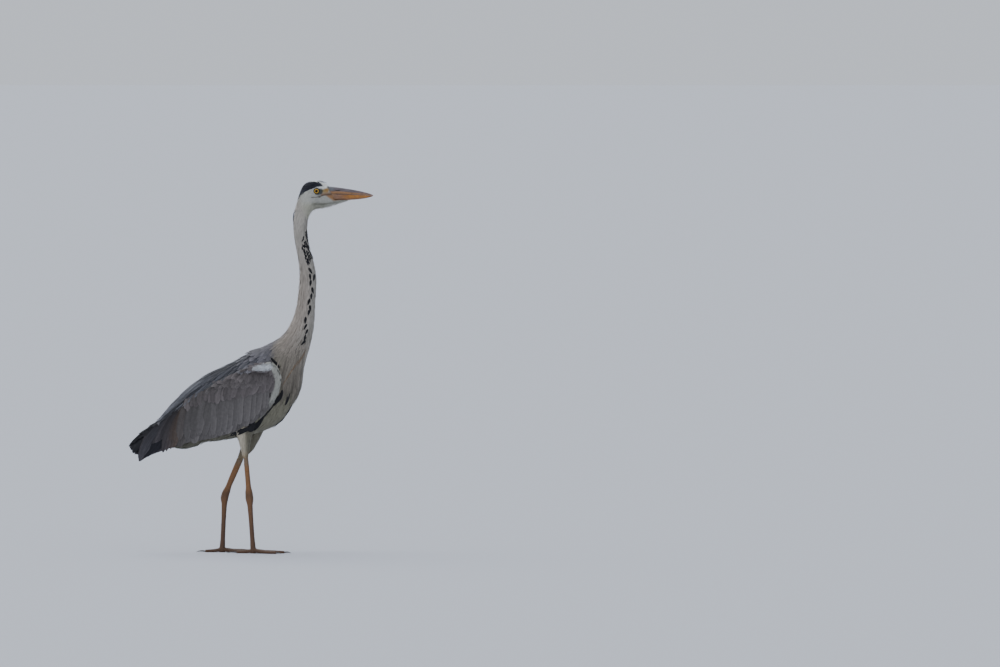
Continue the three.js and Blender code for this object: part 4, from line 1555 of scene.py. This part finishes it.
def scapular_length(points):
    """As long as there is room above the wing, and no further back than the plumes' tips."""
    headings = scapular_heading(points)
    free = reach_to(SCAPULAR_EDGE, points, headings, LONGEST_PLUME) * between(0.82, 1.06, len(points))
    return np.minimum(free, np.maximum((PLUME_TIPS_X - points[:, 0]) / headings[:, 0], 24))


def back_feathers():
    """Rounded feathers of the mantle, with the scapular plumes behind them."""
    back = is_trunk & (grey_back(skin_points) > 0.5)
    mantle = tract(
        back & (skin_x > -12), CONTOUR, back_tint,
        spacing=8.4 - 3.6 * smooth(skin_x, -10, 80),
        length=lambda p: 38 - 18 * smooth(p[:, 0], -10, 80),
        width=lambda p: 16 - 7 * smooth(p[:, 0], -10, 80),
        lift=1.0, rise=lambda p: 3.2 - 1.4 * smooth(p[:, 0], 30, 80),
        stray=9, speckle=0.12, root_shade=0.6, fringe=1.2, stiff=0.5, knots=BROAD,
    )
    under = tract(
        back & (skin_x <= 10) & (skin_x > PLUME_TIPS_X + 30), CONTOUR, back_tint,
        spacing=12, length=44, width=22, lift=0.4, rise=1.8,
        stray=8, speckle=0.08, root_shade=0.72, knots=BROAD,
    )
    last = tract(
        back & (skin_x > 14) & (skin_x < 30) & (np.abs(skin_y) < 30), CONTOUR, back_tint,
        spacing=6, length=32, width=13, lift=2.8, rise=6.0,
        stray=10, speckle=0.12, root_shade=0.6, fringe=1.2, stiff=0.6, knots=BROAD,
    )
    coat("mantle_feathers", [mantle, last, under], WEB)

    # Scapular plumes: long, pointed and bluish, lying back to the wings' upper edges.
    run = reach_to(SCAPULAR_EDGE, skin_points, scapular_heading(skin_points), LONGEST_PLUME)
    above = [(30, 500), *SCAPULAR_EDGE, (-246, 372), (-120, 520), (30, 570)]
    rooted = (inside(skin_x, skin_z, above, 2) > 0.5) & (run > 26) & (skin_normals[:, 2] > -0.25)
    rooted &= (skin_x > -215) & (skin_x < 34) & (skin_owner != "wing_left")
    plumes = tract(
        rooted, LANCE, scapular_tint,
        spacing=8.4, length=scapular_length, width=8, lift=1.8, rise=3.6, heading=scapular_heading,
        stray=3.5, speckle=0.18, root_shade=0.72, tip_shade=1.15, fringe=1.24, stiff=0.35, knots=BROAD,
    )
    coat("scapular_plumes", [plumes], WEB)


def belly_feathers():
    """Pale soft feathers from the breast to the vent."""
    belly = tract(
        is_trunk & (grey_back(skin_points) <= 0.5) & (skin_z < 600), WISP, trunk_tint,
        spacing=4.4 + 0.9 * smooth(skin_x, 80, -100),
        length=lambda p: 22 + 10 * smooth(p[:, 0], 80, -120),
        width=lambda p: 5 + 2 * smooth(p[:, 0], 80, -120),
        lift=0.6, rise=lambda p: 2.2 + 2.4 * smooth(p[:, 0], 10, -60),
        keep_off="wing", speckle=0.045, root_shade=0.9,
    )
    coat("belly_feathers", [belly], SOFT_WEB)


def thigh_feathers(word):
    """Soft feathers down one thigh, and a close hem of them round the shank."""
    on_thigh = skin_owner == f"thigh_{word}"
    end = FEATHERS_END[word][0]

    def downwards(points):
        return unit(np.array(THIGH_ENDS[word]) - points)

    thigh = tract(
        on_thigh, WISP, thigh_tint,
        spacing=3.7, length=lambda p: 13 + 8 * smooth(p[:, 2], 262, 290), width=4.2,
        lift=0.1, rise=lambda p: 0.5 + 1.1 * smooth(p[:, 2], 258, 290),
        heading=downwards, speckle=0.045, root_shade=0.86,
    )
    hem = tract(
        on_thigh & (skin_z > end + 3) & (skin_z < end + 20), LANCE, thigh_tint,
        spacing=2.4, length=13, width=2.6, lift=0.1, rise=0.3,
        heading=downwards, stray=6, speckle=0.06, root_shade=0.9, stiff=0.85, thick=0.25,
    )
    coat(f"thigh_feathers_{word}", [thigh, hem], SOFT_WEB)


# ------------------------------------------------------------------ feathers: wings and tail

# Side-view lines of the right wing. Vanes of a row run from its roots to its tips.
PRIMARY_ROOTS = [(-234, 364), (-226, 370), (-216, 366), (-212, 360)]
PRIMARY_TIPS = [(-304, 247), (-302, 250), (-297, 255), (-290, 262)]
INNER_PRIMARY_ROOTS = [(-196, 366), (-202, 360), (-206, 356)]
INNER_PRIMARY_TIPS = [(-250, 276), (-270, 268), (-288, 256)]
SECONDARY_ROOTS = [(33, 436), (-15, 436), (-70, 427), (-125, 418), (-168, 402)]
SECONDARY_TIPS = [(27, 380), (-11, 347), (-58, 324), (-107, 311), (-158, 299), (-210, 285)]
TERTIAL_ROOTS = [(-172, 406), (-180, 398), (-188, 388)]
TERTIAL_TIPS = [(-206, 286), (-222, 279), (-237, 273)]
LAST_TERTIAL_ROOTS = [(-194, 386), (-200, 380), (-206, 374)]
LAST_TERTIAL_TIPS = [(-246, 308), (-256, 299), (-265, 294)]
GREATER_ROOTS = [(45, 462), (-5, 458), (-60, 450), (-115, 444), (-166, 432)]
GREATER_TIPS = [(39, 396), (0, 362), (-48, 338), (-100, 322), (-152, 310), (-204, 300)]
MEDIAN_ROOTS = [(54, 484), (0, 476), (-60, 466), (-120, 452), (-158, 434)]
MEDIAN_TIPS = [(48, 438), (-14, 424), (-75, 412), (-130, 402), (-174, 388)]


def wing_flow(points):
    """Lie of the small coverts: down at the front, slanting back behind."""
    back = smooth(points[:, 0], 80, -180)[:, None]
    return unit(np.array([-0.22, 0, -0.97]) * (1 - back) + np.array([-0.86, 0, -0.5]) * back)


MAP_STEP = 4.0
MAP_X = np.arange(-330, 112, MAP_STEP)
MAP_Z = np.arange(220, 560, MAP_STEP)
SPREAD_ROUNDS = 40  # how many steps the known depths are carried outwards
EASE_ROUNDS, LAST_HELD_ROUND = 7, 4  # rounds of smoothing, and the last that is held to the wing
TUCK = 4.0  # how far the roots of the wing's rows run in below the plumes of the back


def wing_map(side):
    """How far out the wing's surface lies over its side view, and the back's above the wing."""
    depth = np.zeros((len(MAP_X), len(MAP_Z)))
    on_wing = np.zeros(depth.shape, bool)
    on_trunk = np.zeros(depth.shape, bool)
    for i, j in np.ndindex(depth.shape):
        hit, _, face, _ = seen_from(side, MAP_X[i], MAP_Z[j])
        if hit is not None:
            depth[i, j] = hit.y * side
            on_wing[i, j] = skin_face_owner[face].startswith("wing")
            on_trunk[i, j] = skin_face_owner[face] == "trunk"
    depth -= TUCK * on_trunk
    wing_top = np.where(on_wing, MAP_Z, 0).max(1)[:, None]
    known = on_wing | (on_trunk & (wing_top > 0) & (MAP_Z > wing_top))
    surface = np.where(on_wing, depth, -np.inf)

    def neighbours(grid):
        return [np.roll(grid, shift, axis) for shift, axis in ((1, 0), (-1, 0), (1, 1), (-1, 1))]

    known = known & np.all(neighbours(known), axis=0)
    for _ in range(SPREAD_ROUNDS):
        total, count = sum(neighbours(depth * known)), sum(neighbours(known.astype(int)))
        fresh = (count > 0) & ~known
        depth = np.where(fresh, total / np.maximum(count, 1), depth)
        known = known | fresh
    for step in range(EASE_ROUNDS):
        depth = depth / 2 + sum(neighbours(depth)) / 8
        if step == LAST_HELD_ROUND:
            depth = np.maximum(depth, surface)
    return depth * side


WING_MAPS = {side: wing_map(side) for side in (LEFT, RIGHT)}


def wing_depth(side, xz):
    """Depth of a wing's surface at side-view points."""
    column = np.clip((xz[:, 0] - MAP_X[0]) / MAP_STEP, 0, len(MAP_X) - 1.01)
    row = np.clip((xz[:, 1] - MAP_Z[0]) / MAP_STEP, 0, len(MAP_Z) - 1.01)
    i, j = column.astype(int), row.astype(int)
    f, g = column - i, row - j
    grid = WING_MAPS[side]
    near = grid[i, j] * (1 - f) + grid[i + 1, j] * f
    far = grid[i, j + 1] * (1 - f) + grid[i + 1, j + 1] * f
    return near * (1 - g) + far * g


def across_wing(roots, tips, side, form, lift, rise, bows):
    """Middle lines of vanes laid over a wing between side-view points, each with its own bow."""
    shares = shares_of(form)
    run = tips - roots
    bend = np.stack([-run[:, 1], run[:, 0]], -1) * bows * 4
    paths = (
        roots[:, None]
        + run[:, None] * shares[None, :, None]
        + bend[:, None] * (shares * (1 - shares))[None, :, None]
    )
    xz = wing_place(paths.reshape(-1, 2), side)
    depth = wing_depth(side, xz).reshape(len(roots), -1) + side * (lift + rise * shares)
    xz = xz.reshape(paths.shape)
    line = np.stack([xz[..., 0], depth, xz[..., 1]], -1)
    return line, facing(line, [0.0, side, 0.15])


def wing_row(side, roots, tips, count, form, width, tint, *, lift, rise, bow=0.0, lean=3.5, jitter=2.4,
             speckle=0.12, root_shade=0.62):
    """A row of vanes over a wing, each rear one lying over the one before it."""
    root = through(roots, count) + jitter * chance.standard_normal((count, 2))
    tip = through(tips, count) + jitter * chance.standard_normal((count, 2))
    for _ in range(8):  # a root beyond the wing's upper edge is drawn down to it, 4 mm at a time
        _, covered = side_hits(wing_place(root + (-6, 8), side), side)
        root = np.where(covered[:, None], root, root + 4 * unit(tip - root))
    bows = bow + 0.012 * chance.standard_normal((count, 1))
    line, normal = across_wing(root, tip, side, form, lift, rise, bows)
    tints = speckled(tint if np.ndim(tint) == 2 else repeated(tint, count), speckle)
    tints = tints * clouded(line[:, len(form) // 2], 0.1)
    widths = width * between(0.84, 1.16, count)
    edges = (0.8, 1.3) if side == RIGHT else (1.3, 0.8)  # the front edge catches the light
    leans = -side * lean * between(0.9, 1.3, count)
    return vanes(line, normal, form, widths, tints * root_shade, tints * 1.08,
                 knots=BROAD, camber=0.02, thick=0.4, roll=leans, fringe=edges)


def flight_feathers(word, side):
    """The long quills: primaries below, then secondaries, then the broad brownish tertials."""
    place = np.arange(15)
    low = HUES["covert_low"] * (1 - 0.25 * smooth(place, 6, 12))[:, None]
    low = mixed(low, HUES["brown"], smooth(place, 12.5, 14.5))
    browns = mixed(HUES["brown"], HUES["quill"], np.array([0.0, 0.35, 0.7, 0.9]))
    rows = [
        # The inner primaries are near black: partly the quills' own slate black and partly painted shade
        # under the outer ones.
        wing_row(side, INNER_PRIMARY_ROOTS, INNER_PRIMARY_TIPS, 5, BLADE, 20, HUES["black"] * 1.8,
                 lift=0.0, rise=0.5, lean=-2),
        wing_row(side, PRIMARY_ROOTS, PRIMARY_TIPS, 5, BLADE, 18, HUES["primary"],
                 lift=0.4, rise=1.2, lean=-3, bow=-0.05, jitter=1.0),
        wing_row(side, SECONDARY_ROOTS, SECONDARY_TIPS, 15, STRAP, 31, low, lift=0.4, rise=0.8, bow=-0.05),
        wing_row(side, LAST_TERTIAL_ROOTS, LAST_TERTIAL_TIPS, 4, BLADE, 21, HUES["quill"],
                 lift=1.0, rise=1.0),
        wing_row(side, TERTIAL_ROOTS, TERTIAL_TIPS, 4, BLADE, 24, browns, lift=1.3, rise=0.9, bow=-0.06),
    ]
    coat(f"flight_feathers_{word}", rows, QUILL_WEB)


def wing_coverts(word, side):
    """Small coverts above, then one row of median and one of greater coverts over the quills."""
    xz = wing_place(skin_points[:, [0, 2]], side, back=True)
    x, z = xz.T
    on_wing = (skin_owner == f"wing_{word}") & (skin_normals[:, 1] * side > 0.1)
    on_shoulder = on_wing | (is_trunk & (skin_y * side > 20))
    median_x, median_z = np.array(MEDIAN_ROOTS, float)[::-1].T
    above = z > np.interp(x, median_x, median_z) - 8
    edge = gap_to(LEADING_EDGE, xz)
    shoulder = inside(x, z, SHOULDER_STRIPE, 4) > 0.2
    round_it = inside(x, z, SHOULDER_STRIPE, 30) > 0.1

    def tint(points):
        return wing_tint(points, side)

    small = tract(
        on_wing & above & (edge > 12) & ~round_it, CONTOUR, tint,
        spacing=7.0, length=25, width=12, lift=3.0, rise=2.4, heading=wing_flow,
        stray=11, speckle=0.12, root_shade=0.6, fringe=1.22, knots=BROAD,
    )
    white = tract(
        on_shoulder & shoulder, WISP, tint,
        spacing=3.0, length=16, width=8, lift=4.2, rise=1.4,
        heading=lambda p: np.tile([-0.96, 0, -0.28], (len(p), 1)),
        stray=15, speckle=0.06, root_shade=0.95,
    )
    marginal = tract(
        on_wing & (edge <= 7 + 8 * smooth(z, 390, 440)) & (z > 378) & ~shoulder, WISP, tint,
        spacing=3.0, length=15, width=5.4, lift=3.0, rise=1.8,
        heading=lambda p: np.tile([-0.3, 0, -0.95], (len(p), 1)),
        stray=8, speckle=0.035, root_shade=0.93, fringe=1.04,
    )
    place = np.arange(17)
    low = HUES["covert_low"] * (1 - 0.3 * smooth(place, 8, 14))[:, None]
    low = mixed(low, HUES["brown"], 0.9 * smooth(place, 14.5, 16))
    rows = [
        wing_row(side, GREATER_ROOTS, GREATER_TIPS, 17, STRAP, 23, low,
                 lift=2.3, rise=0.9, bow=-0.04, speckle=0.06, root_shade=0.8),
        wing_row(side, MEDIAN_ROOTS, MEDIAN_TIPS, 24, CONTOUR, 20, HUES["covert"],
                 lift=3.1, rise=1.2, jitter=4.0, root_shade=0.8),
        small,
        marginal,
        white,
    ]
    coat(f"wing_coverts_{word}", rows, WEB)


# Tufts of black feathers at the shoulder and under the wing's front and lower edges:
# (side-view line of their tips, number, length, heading, width, height over what they lie on).
BLACK_TUFTS = [
    ([(82, 424), (79, 415), (72, 407), (62, 398)], 15, 19, (-0.12, 0, -0.99), 7, 4.6),
    ([(60, 400), (44, 379), (28, 360), (16, 350)], 14, 24, (-0.6, 0, -0.8), 5, 2.5),
    ([(20, 347), (10, 332), (-2, 328), (-12, 331)], 16, 30, (-0.5, 0, -0.86), 9, 3.4),
    ([(-10, 332), (-34, 320), (-62, 315)], 18, 30, (-0.75, 0, -0.66), 7, 3.6),
    ([(63, 516), (70, 510), (77, 501)], 10, 15, (0.6, 0, -0.8), 6, 4.6),
    ([(98, 408), (95, 402), (92, 399)], 5, 25, (-0.25, 0, -0.97), 4.4, 4.6),
]


def tucked(side, path, count, length, heading, width, above):
    """Black vanes that come out from under a wing's edge: tips show and roots are hidden."""
    place = wing_place(through(path, count), side)
    run = unit(np.asarray(heading, float))
    shares = shares_of(CONTOUR)
    reach = length * between(0.85, 1.15, count)[:, None] * (1 - shares)
    x, z = place[:, :1] - run[0] * reach, place[:, 1:] - run[2] * reach
    found = on_side(np.stack([x, z], -1).reshape(-1, 2), side)
    ground = found[:, 1].reshape(x.shape) * side
    under_wing = lies_on(found, "wing").reshape(x.shape) & (reach > 3)
    out = np.where(under_wing, ground - 2.0, np.minimum(ground, ground[:, -1:] + 1.6 * reach) + above)
    line = np.stack([x, out * side, z], -1)
    black = speckled(repeated(HUES["black"], count), 0.2)
    normal = facing(line, [0.0, side, 0.0])
    return vanes(line, normal, CONTOUR, np.full(count, width), black, black, thick=0.5)


def black_patches():
    """Black feathers at the shoulder, under the wing's lower edge, on breast and belly."""
    groups = [tucked(side, *tuft) for side in (RIGHT, LEFT) for tuft in BLACK_TUFTS]
    # A black line under the breast, where the belly begins.
    count = 16
    roots = through([(114, 0, 398), (96, 0, 368), (78, 0, 350)], count)
    roots[:, 1] = 3 * np.where(np.arange(count) % 2, 1, -1)
    headings = np.tile([-0.6, 0, -0.75], (count, 1))
    line, normal = laid(roots, headings, np.full(count, 24.0), LANCE, 2.0, 2.0)
    black = repeated(HUES["black"], count)
    groups.append(vanes(line, normal, LANCE, np.full(count, 6.0), black, black))
    coat("black_patches", groups, DARK_WEB)


# Places of the tail's twelve feathers, from the outermost and lowest to the middle pair.
TAIL_RANKS = np.array([5, -5, 4, -4, 3, -3, 2, -2, 1, -1, 0.4, -0.4])


def tail_feathers():
    """Twelve dark slate feathers, painted near black as shade, closed into a roof, the middle pair the
    longest and uppermost.
    """
    shares, steps, count = shares_of(STRAP), 9, len(TAIL_RANKS)
    middle = through(TAIL_LINE, steps)
    along = np.interp(shares, np.linspace(0, 1, steps), np.arange(steps))
    x, z = (np.interp(along, np.arange(steps), middle[:, k]) for k in (0, 1))
    lines = []
    for rank, worn in zip(TAIL_RANKS, between(-6, 5, count)):
        out, order = abs(rank), 1 - abs(rank) / 5
        back = x + (out * 3.2 + worn) * shares
        up = z - out * (2.2 + 1.6 * shares) + 1.5 * order
        lines.append(np.stack([back, rank * (3.1 + 0.4 * shares), up], -1))
    line = np.array(lines)
    outward = np.stack([np.full(count, 0.4), TAIL_RANKS * 0.13, np.ones(count)], -1)[:, None]
    dark = speckled(repeated(HUES["tail"], count), 0.1)
    quills = vanes(line, facing(line, outward), STRAP, np.full(count, 20.0), dark, dark * 0.8,
                   knots=BROAD, camber=0.08, thick=0.5)
    cover = tract(
        (skin_owner == "tail") & (skin_x > -285) & (skin_normals[:, 2] > 0.2), CONTOUR,
        lambda p: repeated(HUES["tail"] * 1.2, len(p)),
        spacing=8, length=24, width=13, lift=0.6, rise=1.4, stray=6, speckle=0.1, stiff=0.5, knots=BROAD,
    )
    coat("tail_feathers", [quills, cover], QUILL_WEB)


head_feathers()
neck_feathers()
neck_flecks()
breast_plumes()
back_feathers()
belly_feathers()
for word in SIDES:
    thigh_feathers(word)
for word, side in SIDES.items():
    flight_feathers(word, side)
    wing_coverts(word, side)
black_patches()
tail_feathers()

# ------------------------------------------------------------------ camera, light and floor


def look(from_point, at_point):
    """The turn that points a camera or light at a place."""
    return (Vector(at_point) - Vector(from_point)).to_track_quat("-Z", "Y").to_euler()


CAMERA_PLACE, AIM = (0.672, -30.0, 1.358), (0.672, 0.0, 0.5925)
LAMPS = [  # name, place, width in degrees, strength
    ("high_sky", (-1.4, 1.3, 3.2), 70, 2.0),
    ("front_fill", (0.6, -3.0, 1.2), 60, 0.25),
]
FLOOR_REACH = 4e5  # mm each way from the middle
FLOOR_DROP = 0.0002  # metres below the feet


def set_the_stage():
    """Camera, soft daylight all round and a pale floor."""
    camera = bpy.data.objects.new("camera", bpy.data.cameras.new("camera"))
    camera.data.lens, camera.data.sensor_width = 400, 36
    camera.data.clip_end = 1000
    camera.location, camera.rotation_euler = CAMERA_PLACE, look(CAMERA_PLACE, AIM)
    bpy.context.scene.collection.objects.link(camera)
    bpy.context.scene.camera = camera

    for name, place, softness, strength in LAMPS:
        lamp = bpy.data.objects.new(name, bpy.data.lights.new(name, "SUN"))
        lamp.data.angle, lamp.data.energy = math.radians(softness), strength
        lamp.location, lamp.rotation_euler = place, look(place, (0, 0, 0.6))
        bpy.context.scene.collection.objects.link(lamp)

    world = bpy.data.worlds.new("pale_room")
    world.use_nodes = True
    backdrop = {"Color": rgba(linear("#dae0ea")), "Strength": 0.95}
    feed(world.node_tree, world.node_tree.nodes["Background"], backdrop)
    bpy.context.scene.world = world

    corners = [(x * FLOOR_REACH, y * FLOOR_REACH, 0) for x, y in ((-1, -1), (1, -1), (1, 1), (-1, 1))]
    floor = mesh_piece("floor", corners, [(0, 1, 2, 3)])
    floor.location.z = -FLOOR_DROP
    material, tree, shader = new_material("pale_matt_floor")
    feed(tree, shader, {"Base Color": rgba(linear("#c1c5ce")), "Roughness": 0.9})
    floor.data.materials.append(material)


set_the_stage()
